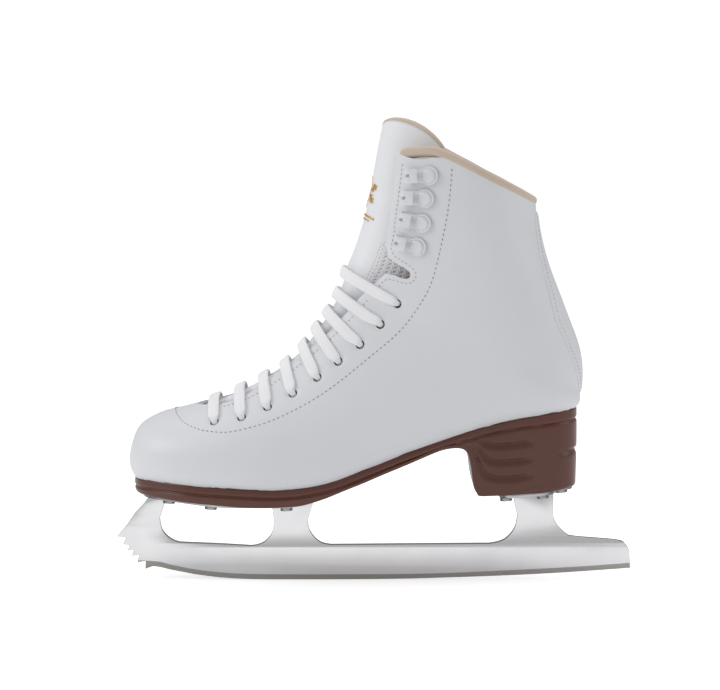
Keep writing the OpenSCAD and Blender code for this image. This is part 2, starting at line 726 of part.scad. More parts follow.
// ---- tongue ----
function arch_point(v, a, d) =
    let (
        r = ring(v),
        f = function (c) lookup(v, [for (g = tongue_arch) [g[0], g[c]]]),
        e = unit(r[1] - r[0]),
        deep = f(1) + d + (f(3) - d) * (1 - cos(a)),
        p = r[0] + e * deep
    )
    [p[0], r[6] - (f(2) * tongue_w / 20.4 - d) * sin(a), p[1]];
function under_point(v, a, d) =
    let (
        f = function (c) lookup(v, [for (g = tongue_under) [g[0], g[c]]]),
        q = min(max((abs(a) - 8) / 34, 0), 1),
        deep = mix(f(1), tongue_side, q * q * (3 - 2 * q))
    )
    on_ring(ring(v, deep + d), a / 90 * f(2));
// Point of the tongue at section v and angle a, d below its outer face
function on_tongue(v, a, d) =
    let (q = min(max((v - 9.3) / 1.2, 0), 1), s = q * q * (3 - 2 * q))
    s == 0 ? under_point(v, a, d) : s == 1 ? arch_point(v, a, d)
    : mix(under_point(v, a, d), arch_point(v, a, d), s);
function thin(a) = 1 - 0.5 * pow(abs(a) / 90, 3);
function tongue_top(a) = 15.97 + 0.52 * sin(1.2 * abs(a)) - 0.45 * pow(abs(a) / 90, 6);
function tongue_grid(lower, a0, a1, na, nv, d) = [
    for (j = [0 : nv])
        [
            for (i = [0 : na])
                let (
                    a = mix(a0, a1, i / na),
                    v = lower ? mix(v_tongue, v_fold - fold_gap, j / nv)
                        : mix(v_fold + fold_gap, tongue_top(a), j / nv)
                )
                on_tongue(v, a, d(a))
        ]
];
skin_edge = 52;   // angle at which the leather ends and the mesh begins
module tongue_layer(lower, a0, a1, na, d0, d1) {
    nv = lower ? 10 : 7;
    shell(tongue_grid(lower, a0, a1, na, nv, d0), tongue_grid(lower, a0, a1, na, nv, d1));
}
module tongue_leather(lower) {
    color(white)
        tongue_layer(lower, -skin_edge, skin_edge, 10, function (a) 0, function (a) tongue_skin_t);
}
module tongue_mesh(lower) {
    color("lavender") {
        for (s = [-1, 1])
            tongue_layer(
                lower, s < 0 ? -90 : skin_edge + 0.6, s < 0 ? -skin_edge - 0.6 : 90, 3,
                function (a) 0.1, function (a) tongue_skin_t
            );
    }
}
foam_d0 = tongue_skin_t + 1.5 * glue;
module tongue_foam(lower) {
    color("khaki")
        tongue_layer(
            lower, -88, 88, 10,
            function (a) foam_d0, function (a) foam_d0 + tongue_foam_t * thin(a)
        );
}
module tongue_lining(lower) {
    color(beige)
        tongue_layer(
            lower, -90, 90, 10,
            function (a) foam_d0 + glue + tongue_foam_t * thin(a),
            function (a) foam_d0 + glue + lining_t + tongue_foam_t * thin(a)
        );
}
module tongue_leather_lower() { tongue_leather(true); }
module tongue_leather_upper() { tongue_leather(false); }
module tongue_mesh_lower() { tongue_mesh(true); }
module tongue_mesh_upper() { tongue_mesh(false); }
module tongue_foam_lower() { tongue_foam(true); }
module tongue_foam_upper() { tongue_foam(false); }
module tongue_lining_lower() { tongue_lining(true); }
module tongue_lining_upper() { tongue_lining(false); }
module tongue_binding() {
    na = 16;
    grid = function (d) [
        for (h = [0.02, 0.2])
            [for (i = [0 : na]) let (a = mix(-88, 88, i / na)) on_tongue(tongue_top(a) + h, a, d(a))]
    ];
    color(beige)
        shell(
            grid(function (a) 0.3),
            grid(function (a) foam_d0 + lining_t + tongue_foam_t * thin(a))
        );
}

// ---- blade ----
window_top = plate_t + 0;
function up(p) = [p[0] * kx, p[1]];
toe_pick = [
    [-132.1, 44.5], [-138.5, 38.5], [-142.6, 32.3], [-148.4, 25.2], [-143.3, 24.5],
    [-145.2, 20.6], [-141.4, 20.1], [-142.4, 16.9], [-138.9, 17.2], [-140, 13.8],
    [-135.9, 14.5], [-136.8, 10.2], [-132.1, 10.7], [-132.3, 6.2]
];
rocker = [
    [-127.9, 7.8], [-123.5, 7.2], [-117.8, 5.8], [-110, 4.3], [-102.6, 2.9], [-90, 1.3],
    [-77.3, 0.45], [-64.9, 0.06], [-45, 0], [-25, 0.02], [0, 0.2], [30, 0.75], [72.9, 2.2],
    [110, 4.1], [148.4, 6.8]
];
tail = [
    [147.8, 17.2], [145.9, 20.4], [140.9, 23], [116.5, 25.2], [111.4, 26.8], [106.2, 31.9],
    [103.7, 37]
];
window_front = [
    [-123.7, 36.1], [-122.4, 29.4], [-118.6, 24.8], [-113.6, 22.2], [-107, 21.6], [-90, 20.9],
    [-76, 20.1], [-69.7, 19.9], [-63.9, 21.8], [-59.2, 26.9], [-57.7, 33.6]
];
window_rear = [
    [-38.2, 34.2], [-36.8, 28.4], [-32.2, 22.8], [-26.5, 20.7], [-18, 20.5], [20, 20.8],
    [60, 21.1], [67.8, 21.3], [75.5, 23.6], [81.2, 30], [82.9, 37.7]
];
module blade_runner() {
    top = blade_h + boot_h;
    outline = concat(
        [[-127 * kx, top], [-132.1 * kx, top]],
        [for (p = toe_pick) up(p)],
        [for (p = smooth(rocker, 2)) up(p)],
        [for (p = smooth(tail, 3)) up(p)],
        [[103.7 * kx, top]]
    );
    color(chrome)
        intersection() {
            difference() {
                across(outline, runner_t / 2);
                across(concat(
                    [[-119.6 * kx, top], up([-121.6, 42.0])],
                    [for (p = smooth(window_front, 3)) up(p)],
                    [up([-58.4, 39.9]), [-59.6 * kx, top]]
                ));
                across(concat(
                    [[-34 * kx, top], up([-36.6, 40])],
                    [for (p = smooth(window_rear, 3)) up(p)],
                    [up([81.6, 43.2]), [80.2 * kx, top]]
                ));
            }
            union() {
                across(concat(
                    [for (p = under) [p[0], p[1] - plate_t]],
                    [[60 * kx, blade_h - plate_t], [60 * kx, -5], [-160 * kx, -5]]
                ));
                across(concat(
                    [[50 * kx, 22], [60 * kx, height_on(under_heel, 60 * kx) - plate_t]],
                    [for (p = under_heel) [p[0], p[1] - plate_t]],
                    [[160 * kx, 40], [160 * kx, -5], [50 * kx, -5]]
                ));
            }
        }
}
front_plan = [
    [-133, 0], [-131.5, 7], [-126, 13.5], [-117, 18.5], [-104, 25], [-92, 29.6], [-82, 30],
    [-70, 26], [-58, 25.4], [-46, 25.6], [-37, 20.5], [-31.5, 12], [-30, 0]
];
heel_plan = [
    [70.5, 0], [71.2, 12], [74, 19.5], [79, 22], [88, 21], [97, 20.4], [102, 17], [105, 10.5],
    [109, 8], [113.5, 5], [114.6, 0]
];
module plate(plan_line, half, nominal_half, line) {
    pts = smooth(plan_line, 3);
    k = half / nominal_half;
    intersection() {
        linear_extrude(blade_h + boot_h)
            polygon(concat(
                [for (p = pts) [p[0] * kx, -p[1] * k]],
                [for (i = [len(pts) - 2 : -1 : 1]) [pts[i][0] * kx, pts[i][1] * k]]
            ));
        across(band(line, -plate_t, 0));
    }
}
module front_plate() {
    color(chrome)
        difference() {
            plate(front_plan, front_plate_w, 30, under);
            screw_holes(front_pairs, front_screw_l);
        }
}
module heel_plate() {
    color(chrome)
        difference() {
            plate(heel_plan, heel_plate_w, 22, under_heel);
            screw_holes(heel_pairs, heel_screw_l);
        }
}
module front_screws() { color("silver") screw_set(front_pairs, front_screw_l); }
module heel_screws() { color("silver") screw_set(heel_pairs, heel_screw_l); }

// ---- eyelets and hooks ----
flange_d = 6.4;
module eyelet() {
    r = eyelet_d / 2;
    top = -(leather_t + 0.36);
    bottom = -(lining_d1 + 0.75);
    rotate_extrude($fn = fine)
        polygon([
            [r, top], [flange_d / 2, top], [flange_d / 2, top - 0.2], [r + barrel_t, top - 0.2],
            [r + barrel_t, bottom + 0.3], [flange_d / 2, bottom + 0.3], [flange_d / 2, bottom], [r, bottom]
        ]);
}
module eyelets(which) {
    color("silver")
        for (p = sides(eyelet_at)) on_boot(p, which) eyelet();
}
module eyelets_lateral() { eyelets(lateral); }
module eyelets_medial() { eyelets(medial); }
rivet_shank = 3.4;
base_d = 10.8;
hook_reach = 13.4;
hook_gap = 3.2;
hook_lift = 0.25;
hook_mid = 4;         // the hook's base touches the leather this far ahead of its rivet
function hook_spot(h) = side([h[0] - hook_mid * cos(h[2]), h[1] + hook_mid * sin(h[2])]);
module hook() {
    r = hook_gap / 2 + hook_t;
    tip = hook_reach - hook_mid;
    difference() {
        union() {
            translate([-hook_mid, 0, 0]) cylinder(d = base_d, h = hook_t, $fn = fine);
            translate([-hook_mid, -hook_w / 2, 0]) cube([hook_reach - r, hook_w, hook_t]);
            difference() {
                translate([tip - r, hook_w / 2, r]) rotate([90, 0, 0]) cylinder(r = r, h = hook_w, $fn = fine);
                translate([tip - r, hook_w, r]) rotate([90, 0, 0]) cylinder(r = hook_gap / 2, h = 2 * hook_w, $fn = fine);
                translate([tip - 3 * r, -hook_w, -1]) cube([2 * r, 2 * hook_w, 3 * r]);
            }
            translate([tip - r - 5.4, -hook_w / 2, 2 * r - hook_t]) cube([5.41, hook_w, hook_t]);
        }
        translate([-hook_mid, 0, -1]) cylinder(d = rivet_shank + 0.2, h = 4, $fn = fine);
        translate([tip - 3.6, -0.9, r]) cube([6, 1.8, 2 * r]);
    }
}
module hooks(which) {
    color(white)
        for (h = hook_at)
            on_boot(hook_spot(h), which, h[2], hook_lift) hook();
}
module hooks_lateral() { hooks(lateral); }
module hooks_medial() { hooks(medial); }
module hook_rivets(which) {
    color(white)
        for (h = hook_at)
            on_boot(hook_spot(h), which, h[2], hook_lift)
                translate([-hook_mid, 0, hook_t + 0.05]) {
                    cylinder(d = rivet_d, h = 0.6, $fn = fine);
                    translate([0, 0, 0.59]) cylinder(d1 = rivet_d, d2 = rivet_d - 1.4, h = 0.5, $fn = fine);
                    translate([0, 0, -3.9]) cylinder(d = rivet_shank, h = 4, $fn = fine);
                }
}
module hook_rivets_lateral() { hook_rivets(lateral); }
module hook_rivets_medial() { hook_rivets(medial); }

// ---- lace ----
function eyelet_point(e, w) = on_side(side(eyelet_at[e]), w);
function eyelet_normal(e, w) = outward(side(eyelet_at[e]), w);
// Direction along the row of eyelets, towards the top
function row_way(e, w) =
    unit(eyelet_point(min(e + 1, 8), w) - eyelet_point(max(e - 1, 0), w));
bar_lift = lace_t / 2 + 0.45;
bar_arch = 0.5;       // how much higher a bar lies in its middle
run_depth = lining_d1 + 0.75 + lace_t / 2 + 0.7;
tongue_side = run_depth + lace_t / 2 + 1.1;
// Order in which the lace visits the eyelets: [eyelet, side], by turns over a bar and along a run
visits = [
    [7, lateral], [7, medial], [5, medial], [5, lateral], [3, lateral], [3, medial], [1, medial],
    [1, lateral], [0, lateral], [0, medial], [2, medial], [2, lateral], [4, lateral], [4, medial],
    [6, medial], [6, lateral], [8, lateral], [8, medial]
];
// A lace station is [place, direction of its width, width, thickness]
function bar_stations(e, from_side) =
    let (
        p = side(eyelet_at[e]),
        v = section_of(p),
        a = angle_of(p),
        n = 6,
        keep = 0.86
    )
    [
        for (i = [0 : n])
            let (
                s = (1 - 2 * i / n) * keep * (from_side == lateral ? 1 : -1),
                up = -bar_lift - bar_arch * sin(180 * i / n),
                way = unit(on_ring(ring(v + 0.1, up), s * a) - on_ring(ring(v - 0.1, up), s * a))
            )
            [on_ring(ring(v, up), s * a), way, lace_w, lace_t]
    ];
// Stations through an eyelet, from above it to below it
function hole_stations(e, w) =
    let (p = eyelet_point(e, w), n = eyelet_normal(e, w), f = row_way(e, w), b = cross(n, f))
    [
        [p + n * (bar_lift - 0.1) + b * -w * 2.4, f, lace_w * 0.8, lace_t * 1.1],
        [p + n * 0.4 + b * -w * 0.3, f, eyelet_d * 0.76, eyelet_d * 0.52],
        [p - n * 2.2, f, eyelet_d * 0.62, eyelet_d * 0.5],
        [p - n * (lining_d1 + 1.4), unit(f + b), eyelet_d * 0.46, eyelet_d * 0.42]
    ];
function run_stations(a, b) =
    let (
        w = a[1],
        far = abs(a[0] - b[0]) > 1,
        odd = (a[0] % 2) == 0,
        step = b[0] > a[0] ? 1 : -1,
        p = eyelet_point(a[0], w),
        q = eyelet_point(b[0], w),
        m = (a[0] + b[0]) / 2,
        shift = far ? (odd ? 6.2 : -6.2) : 0
    )
    [
        for (t = far ? [0.05, 0.22, 0.41, 0.59, 0.78, 0.95] : [0.1, 0.5, 0.9])
            let (
                side_point = mix(side(eyelet_at[a[0]]), side(eyelet_at[b[0]]), t),
                mid_point = far ? side(eyelet_at[m]) : side_point,
                blend = sin(180 * t),
                chord = unit(side(eyelet_at[b[0]]) - side(eyelet_at[a[0]])) * step,
                down = [chord[1], -chord[0]],
                spot = mix(side_point, mid_point, far ? blend * 0.8 : 0) + down * shift * pow(blend, 0.7),
                wide = min(blend * 1.4, 1),
                n = outward(spot, w),
                along = unit(q - p)
            )
            [
                on_side(spot, w) - n * run_depth, unit(cross(n, along)),
                mix(eyelet_d * 0.46, lace_w * 0.9, wide), mix(eyelet_d * 0.42, lace_t, wide)
            ]
    ];
// Tucked ends: side-view points inside the shaft, between the tongue and the lining
tail_line = [[21.5, 109.5], [31, 106], [41, 102], [49, 95], [53, 86], [54, 77]];
function tail_stations(w, shift) =
    [
        for (p = smooth(sides([for (q = tail_line) q + shift]), 2))
            let (
                n = outward(p, w),
                up = [0, 0, 1],
                in = min(max((p[0] / kx - 14) / 16, 0), 1)
            )
            [
                on_side(p, w) - n * mix(run_depth, shaft_pad + lining_t + 1.6 + lace_t / 2, in),
                unit(cross(n, cross(up, n))), lace_w * 0.9, lace_t
            ]
    ];
function lace_route() = flat_list([
    reversed(tail_stations(lateral, [-8, -10])),
    for (k = [0 : len(visits) - 2])
        let (a = visits[k], b = visits[k + 1])
        (k % 2 == 0)
            ? concat(reversed(hole_stations(a[0], a[1])), bar_stations(a[0], a[1]), hole_stations(b[0], b[1]))
            : run_stations(a, b),
    tail_stations(medial, [0, 0])
]);
function same_way(a, b) = a * b < 0 ? -1 : 1;
function lace_frames(route, k = 0, last = undef, out = []) =
    k == len(route) ? out
    : let (
        s = route[k],
        t = unit(at(route, k + 1)[0] - at(route, k - 1)[0]),
        w0 = unit(s[1] - t * (s[1] * t)),
        w = last == undef ? w0 : w0 * same_way(w0, last)
    )
    lace_frames(route, k + 1, w, concat(out, [[s[0], w, cross(t, w), s[2], s[3]]]));
module lace() {
    frames = lace_frames(lace_route());
    color("white")
        skin([
            for (f = frames)
                [
                    for (q = [[1, 0], [0.7, 1], [-0.7, 1], [-1, 0], [-0.7, -1], [0.7, -1]])
                        f[0] + f[1] * (f[3] / 2 * q[0]) + f[2] * (f[4] / 2 * q[1])
                ]
        ]);
}
tip_l = 16;
tip_d = 3.2;
module lace_tip(w, shift) {
    l = tail_stations(w, shift);
    p = l[len(l) - 1][0];
    q = l[len(l) - 2][0];
    way = unit(p - q);
    x_way = unit(cross([0, 1, 0], way));
    y_way = cross(way, x_way);
    o = p + way * 0.1;
    multmatrix([
        [x_way[0], y_way[0], way[0], o[0]],
        [x_way[1], y_way[1], way[1], o[1]],
        [x_way[2], y_way[2], way[2], o[2]],
        [0, 0, 0, 1]
    ]) cylinder(d = tip_d, h = tip_l, $fn = 24);
}
module lace_tips() {
    color("lightgray") {
        lace_tip(lateral, [-8, -10]);
        lace_tip(medial, [0, 0]);
    }
}

upper_outer();
eyestay_facing();
backstay();
collar();
lining();
ankle_pad_lateral();
ankle_pad_medial();
heel_counter();
toe_puff();
tongue_leather_lower();
tongue_leather_upper();
tongue_mesh_lower();
tongue_mesh_upper();
tongue_foam_lower();
tongue_foam_upper();
tongue_lining_lower();
tongue_lining_upper();
tongue_binding();
bottom_filler();
insole_board();
footbed();
sole_unit();
blade_runner();
front_plate();
heel_plate();
front_screws();
heel_screws();
eyelets_lateral();
eyelets_medial();
hooks_lateral();
hooks_medial();
hook_rivets_lateral();
hook_rivets_medial();
lace();
lace_tips();
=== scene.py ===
"""A laced figure skate: leather boot, padded tongue, rolled collar, moulded sole and heel, bright blade."""

import math

import bmesh
import bpy
import numpy as np
from mathutils import Matrix, Vector


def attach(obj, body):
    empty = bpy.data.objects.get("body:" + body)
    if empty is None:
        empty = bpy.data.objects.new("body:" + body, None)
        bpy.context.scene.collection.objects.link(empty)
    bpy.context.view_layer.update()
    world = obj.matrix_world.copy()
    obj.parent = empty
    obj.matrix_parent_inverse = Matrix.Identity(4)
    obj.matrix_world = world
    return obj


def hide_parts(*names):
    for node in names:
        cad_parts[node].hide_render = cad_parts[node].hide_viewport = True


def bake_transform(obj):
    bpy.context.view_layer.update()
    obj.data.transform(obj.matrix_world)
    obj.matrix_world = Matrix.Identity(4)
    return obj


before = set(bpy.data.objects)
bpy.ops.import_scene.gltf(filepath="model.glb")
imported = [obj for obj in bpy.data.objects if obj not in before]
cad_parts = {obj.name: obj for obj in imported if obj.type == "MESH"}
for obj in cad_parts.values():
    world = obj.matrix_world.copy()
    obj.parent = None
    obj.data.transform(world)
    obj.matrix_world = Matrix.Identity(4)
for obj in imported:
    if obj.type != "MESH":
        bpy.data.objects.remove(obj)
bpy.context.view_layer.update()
MM = 0.001
scene = bpy.context.scene

# ---- camera ----
# Seen from the lateral side; the view's width is the one at the blade's plane.
EYE = Vector((-0.008, -1.45, 0.290))
LOOK_AT = Vector((-0.008, 0.0, 0.1364))
VIEW_WIDTH = 0.41364
SENSOR_WIDTH = 36.0


def place_camera():
    data = bpy.data.cameras.new("camera")
    camera = bpy.data.objects.new("camera", data)
    scene.collection.objects.link(camera)
    camera.location = EYE
    camera.rotation_euler = (LOOK_AT - EYE).to_track_quat("-Z", "Y").to_euler()
    data.sensor_width = SENSOR_WIDTH
    data.lens = (LOOK_AT - EYE).length / VIEW_WIDTH * SENSOR_WIDTH
    data.clip_end = 40.0
    scene.camera = camera


place_camera()

# ---- the boot's form ----
# Sections from the toe to above the collar: front point, back point, half width, place of the widest
# point, fullness towards the front and the back, shift to the medial side.
GROUND = 48.0
SECTIONS = np.array([
    [-141.3, 22, -141.3, 22, 0, 0.50, 2.1, 2.1, 6],
    [-139.4, 32.5, -139.4, 14.6, 15, 0.50, 2.1, 2.3, 6],
    [-134.5, 42.2, -134, 10.0, 26, 0.52, 2.1, 2.6, 5.6],
    [-122, 49.3, -121, 8.9, 35.5, 0.60, 2.1, 3.0, 4.2],
    [-105.5, 53.5, -103, 8.2, 41.5, 0.68, 2.1, 3.4, 2.4],
    [-85.6, 60, -80, 7.4, 44.3, 0.72, 2.1, 3.6, 0.6],
    [-66, 69.3, -55, 6.4, 44.8, 0.73, 2.0, 3.6, 0],
    [-48.3, 80.7, -24, 10.4, 41.8, 0.71, 2.0, 3.6, 0],
    [-34, 98, 18, 26, 38, 0.66, 2.0, 3.6, 0],
    [-24.5, 112, 66, 41.5, 36.5, 0.60, 2.0, 3.4, 0],
    [-18.5, 125, 112.8, 51.4, 36.5, 0.55, 2.05, 2.8, 0],
    [-15.5, 136, 118.4, 65.5, 37, 0.52, 2.1, 2.35, 0],
    [-10.3, 151, 117.3, 85.5, 38, 0.50, 2.15, 2.2, 0],
    [-5.7, 168, 108.5, 110, 39.5, 0.50, 2.2, 2.2, 0],
    [-2.2, 186.5, 98.8, 135.5, 41, 0.50, 2.2, 2.2, 0],
    [0.6, 203, 93.6, 156, 41.5, 0.50, 2.2, 2.2, 0],
    [3.5, 218, 92, 172.5, 41.5, 0.50, 2.2, 2.2, 0],
    [6, 232, 91, 188, 41.5, 0.50, 2.2, 2.2, 0],
])
TOP = len(SECTIONS) - 1
TOE = SECTIONS[1]
PADDED = np.vstack([[TOE[2], TOE[3], TOE[0], TOE[1], -TOE[4], *TOE[5:]], SECTIONS, SECTIONS[-1:]])
LIP = [(-150, 12.6), (-115, 12.6), (-96, 11.7), (-78, 11.1), (-51, 10.2), (-34, 12), (-20, 15.2),
       (-2, 22), (15.5, 28.7), (33.4, 35.3), (51.3, 41.2), (66, 45.2), (82.7, 49.1), (101, 51.8),
       (112, 53.2), (130, 55.4)]
UNDER = [(-150, 6), (-138, 3.9), (-124, 3.0), (-93, 1.2), (-72, 0), (-48, 0), (-39, 1.1), (-30, 3.5),
         (-24, 5.6), (-16, 8.8), (-7, 12.2), (2, 15.9), (11, 19.6), (20, 23.3), (29, 27.2), (38, 30.8),
         (44, 32), (47.5, 32.1), (50, 31.7), (52.1, 30.4), (53.6, 28.2), (54.4, 25), (55.4, 20),
         (56.4, 12), (57.4, 8.4), (59.2, 5.7), (62.8, 4), (91.6, 5.6), (105, 6.8), (112, 7.5), (130, 9)]
THROAT = [(-103, 54.6), (-100.3, 54.8), (-87.8, 56.6), (-74.7, 60.9), (-60.2, 69.7), (-47.2, 79.1),
          (-35.8, 88.7), (-24.5, 98.7), (-15.4, 109), (-7.5, 118), (1, 126.3), (4.4, 129.9),
          (6.6, 131.4), (10.9, 130.8), (14.8, 129.5), (17.8, 129), (19.8, 129.9), (20.2, 131.6),
          (19.1, 133.5), (16.5, 135.3), (13, 137.2), (9.3, 139.8), (7.2, 143.1), (6.9, 148.7),
          (7.8, 154.9), (8.3, 161.7), (9.7, 171.8), (12.3, 192.7), (12.9, 201.2), (13.4, 212)]
COLLAR = [(14.1, 199.6), (21.1, 200.4), (31.1, 201), (36.7, 199.6), (43.4, 196.8), (53.5, 191.8),
          (63.6, 186.5), (74.8, 180.9), (86, 175), (93.4, 171.0)]
SEAM_OUTER = [(-114.5, 52.0), (-112.7, 50.2), (-107.2, 46.4), (-98.9, 43.9), (-92.1, 43.2), (-84.1, 43.0),
              (-75.5, 44.4), (-59.7, 48.9), (-44.3, 55.7), (-30.1, 63.8), (-16.4, 73.7), (-3.2, 84.5),
              (9.8, 95.2), (17.8, 103.6), (22.5, 110), (26.7, 116.7), (30.5, 123.7), (33.4, 132),
              (36, 142.9), (38.5, 154.9), (40.7, 167.2), (42.1, 179.2), (43, 191.5)]
SEAM_INNER = [(-86, 55.4), (-73.1, 59.6), (-69.1, 61.6), (-59, 67.4), (-45.4, 76.6), (-35.5, 84.6),
              (-23.3, 95.4), (-14, 104.9), (-5.8, 114), (-2.9, 117.1)]
SEAM_NOTCH = [(2.3, 123.8), (4.7, 126.9), (7.7, 128.6), (11.6, 127.8), (15.1, 126.9), (18.6, 126.5),
              (21.4, 127.5), (23.2, 130.4), (22.6, 133.6), (20.3, 136), (17.2, 138), (14.2, 139.8),
              (11.4, 141.8), (10, 144.3), (9.7, 147.2), (10.3, 150.8), (11, 155), (11.8, 163.5),
              (13, 172), (15.2, 189.4), (15.6, 193.6)]
EYELETS = [(-90.2, 48.1), (-74.7, 50.9), (-60.1, 56.6), (-45.9, 64.1), (-32.1, 73.2), (-20.3, 82.2),
           (-8, 91.7), (3.4, 103.1), (12.8, 114.9)]
LEATHER = 1.8
LINING_IN = 5.55
SHAFT_PAD = 6.8
LATERAL, MEDIAL = -1, 1


def through(a, b, c, d, t):
    """The place t of the way from b to c, on a smooth curve through a, b, c and d."""
    return 0.5 * (2 * b + (c - a) * t + (2 * a - 5 * b + 4 * c - d) * t * t
                  + (3 * b - a - 3 * c + d) * t ** 3)


def smooth(points, n):
    """The same line with n spans to each of its own, passing through every point."""
    p = np.array(points, float)
    q = np.vstack([p[:1], p, p[-1:]])
    t = np.linspace(0, 1, n, endpoint=False)[:, None]
    out = [
        through(q[i], q[i + 1], q[i + 2], q[i + 3], t)
        for i in range(len(p) - 1)
    ]
    return np.vstack(out + [p[-1:]])


def evenly(points, step):
    """Points step apart along a line."""
    p = np.asarray(points, float)
    run = np.concatenate([[0], np.cumsum(np.linalg.norm(np.diff(p, axis=0), axis=1))])
    marks = np.linspace(0, run[-1], max(int(round(run[-1] / step)), 1) + 1)
    return np.stack([np.interp(marks, run, p[:, k]) for k in range(p.shape[1])], axis=1)


LIP_LINE = smooth(LIP, 5)
UNDER_LINE = smooth(UNDER, 3)


def lip_z(x):
    return np.interp(x, LIP_LINE[:, 0], LIP_LINE[:, 1])


def under_z(x):
    return np.interp(x, UNDER_LINE[:, 0], UNDER_LINE[:, 1])


def section(v):
    v = np.asarray(v, float)
    i = np.clip(np.floor(v), 0, TOP - 1).astype(int)
    t = (v - i)[..., None]
    a, b, c, d = (PADDED[i + k] for k in range(4))
    return through(a, b, c, d, t)


def ring(v, d):
    """Front point, back point, half width and the rest of the sections that lie d below the leather."""
    v, d = np.broadcast_arrays(np.asarray(v, float), np.asarray(d, float))
    r, p, m = section(v), section(v + 0.02), section(v - 0.02)
    step = p - m
    front_way = step[..., 0:2] / np.maximum(np.linalg.norm(step[..., 0:2], axis=-1), 1e-9)[..., None]
    back_way = step[..., 2:4] / np.maximum(np.linalg.norm(step[..., 2:4], axis=-1), 1e-9)[..., None]
    middle = [q[..., 0:2] + (q[..., 2:4] - q[..., 0:2]) * q[..., 5:6] for q in (p, m)]
    run = np.linalg.norm(middle[0] - middle[1], axis=-1)
    steep = run / np.maximum(np.hypot(run, step[..., 4]), 1e-9)
    front = r[..., 0:2] + d[..., None] * np.stack([front_way[..., 1], -front_way[..., 0]], -1)
    back = r[..., 2:4] + d[..., None] * np.stack([-back_way[..., 1], back_way[..., 0]], -1)
    return front, back, np.maximum(r[..., 4] - d * steep, 0), r[..., 5], r[..., 6], r[..., 7], r[..., 8]


def on_boot(v, a, d=0.0):
    """Points in mm of the layer d below the leather, at section v and angle a in degrees:
    0 at the front, 90 at the lateral side, 180 at the back, 270 at the medial side."""
    v, a, d = np.broadcast_arrays(np.asarray(v, float), np.asarray(a, float), np.asarray(d, float))
    front, back, w, tc, nt, nb, yc = ring(v, d)
    c, s = np.cos(np.radians(a)), np.sin(np.radians(a))
    n = np.where(c > 0, nt, nb)
    q = (np.abs(c) ** n + np.abs(s) ** n) ** (-1 / n)
    t = tc - np.where(c > 0, tc, 1 - tc) * q * c
    xz = front + (back - front) * t[..., None]
    return np.stack([xz[..., 0], yc - w * q * s, xz[..., 1] + GROUND], -1)


def where(points, d=0.0):
    """(section, angle) of side-view points on the lateral side."""
    p = np.atleast_2d(np.asarray(points, float))
    lo, hi = np.full(len(p), 0.02), np.full(len(p), float(TOP))
    for _ in range(24):
        m = (lo + hi) / 2
        front, back = ring(m, d)[:2]
        span, reach = back - front, p - front
        ahead = span[:, 0] * reach[:, 1] > span[:, 1] * reach[:, 0]
        lo, hi = np.where(ahead, m, lo), np.where(ahead, hi, m)
    v = (lo + hi) / 2
    front, back, w, tc, nt, nb, yc = ring(v, d)
    e = back - front
    t = np.clip(((p - front) * e).sum(1) / np.maximum((e * e).sum(1), 1e-9), 0, 1)
    fore = t < tc
    q = np.where(fore, (tc - t) / tc, (t - tc) / (1 - tc))
    n = np.where(fore, nt, nb)
    s = np.maximum(1 - q ** n, 0) ** (1 / n)
    return v, np.degrees(np.arctan2(s, np.where(fore, q, -q))), s * w, yc


def on_side(points, which, d=0.0):
    """Points in mm of the boot's lateral or medial side, seen side on at the given places."""
    p = np.atleast_2d(np.asarray(points, float))
    _, _, s, yc = where(p, d)
    return np.stack([p[:, 0], yc + which * s, p[:, 1] + GROUND], -1)


def outward(points, which):
    """Unit way out of the leather at side-view places."""
    p = np.atleast_2d(np.asarray(points, float))
    e = 0.8
    dx = on_side(p + [e, 0], which)[:, 1] - on_side(p - [e, 0], which)[:, 1]
    dz = on_side(p + [0, e], which)[:, 1] - on_side(p - [0, e], which)[:, 1]
    n = np.stack([-which * dx / (2 * e), np.full(len(p), float(which)), -which * dz / (2 * e)], -1)
    return n / np.linalg.norm(n, axis=1)[:, None]


def ease(t):
    t = np.clip(t, 0, 1)
    return t * t * (3 - 2 * t)


# ---- making pieces ----


def grid(rows, cols):
    """A flat bmesh grid, with each vertex's place across (0 to 1) and along (0 to 1)."""
    bm = bmesh.new()
    uv = bm.loops.layers.uv.new("UVMap")
    bmesh.ops.create_grid(bm, x_segments=cols, y_segments=rows, size=0.5)
    for f in bm.faces:
        for loop in f.loops:
            loop[uv].uv = (loop.vert.co.x + 0.5, loop.vert.co.y + 0.5)
    st = np.array([(v.co.x + 0.5, v.co.y + 0.5) for v in bm.verts])
    return bm, st[:, 0], st[:, 1]


def move(bm, points):
    """Puts every vertex at its place, given in mm."""
    for v, p in zip(bm.verts, np.asarray(points) * MM):
        v.co = p


def weld(bm, gap=2e-5):
    bmesh.ops.remove_doubles(bm, verts=bm.verts, dist=gap)
    bmesh.ops.dissolve_degenerate(bm, dist=1e-6, edges=bm.edges)


def outwards(bm):
    bmesh.ops.recalc_face_normals(bm, faces=bm.faces)
    if bm.calc_volume(signed=True) < 0:
        bmesh.ops.reverse_faces(bm, faces=bm.faces)


def piece(name, bm, material, body="boot", stands_for=()):
    mesh = bpy.data.meshes.new(name)
    bm.to_mesh(mesh)
    bm.free()
    for m in material if isinstance(material, (list, tuple)) else [material]:
        mesh.materials.append(m)
    for p in mesh.polygons:
        p.use_smooth = True
    obj = bpy.data.objects.new(name, mesh)
    scene.collection.objects.link(obj)
    if body:
        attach(obj, body)
    if stands_for:
        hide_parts(*stands_for)
    return obj


def apply_modifiers(obj):
    graph = bpy.context.evaluated_depsgraph_get()
    mesh = bpy.data.meshes.new_from_object(obj.evaluated_get(graph))
    old, obj.data = obj.data, mesh
    mesh.name = old.name
    obj.modifiers.clear()
    for p in mesh.polygons:
        p.use_smooth = True


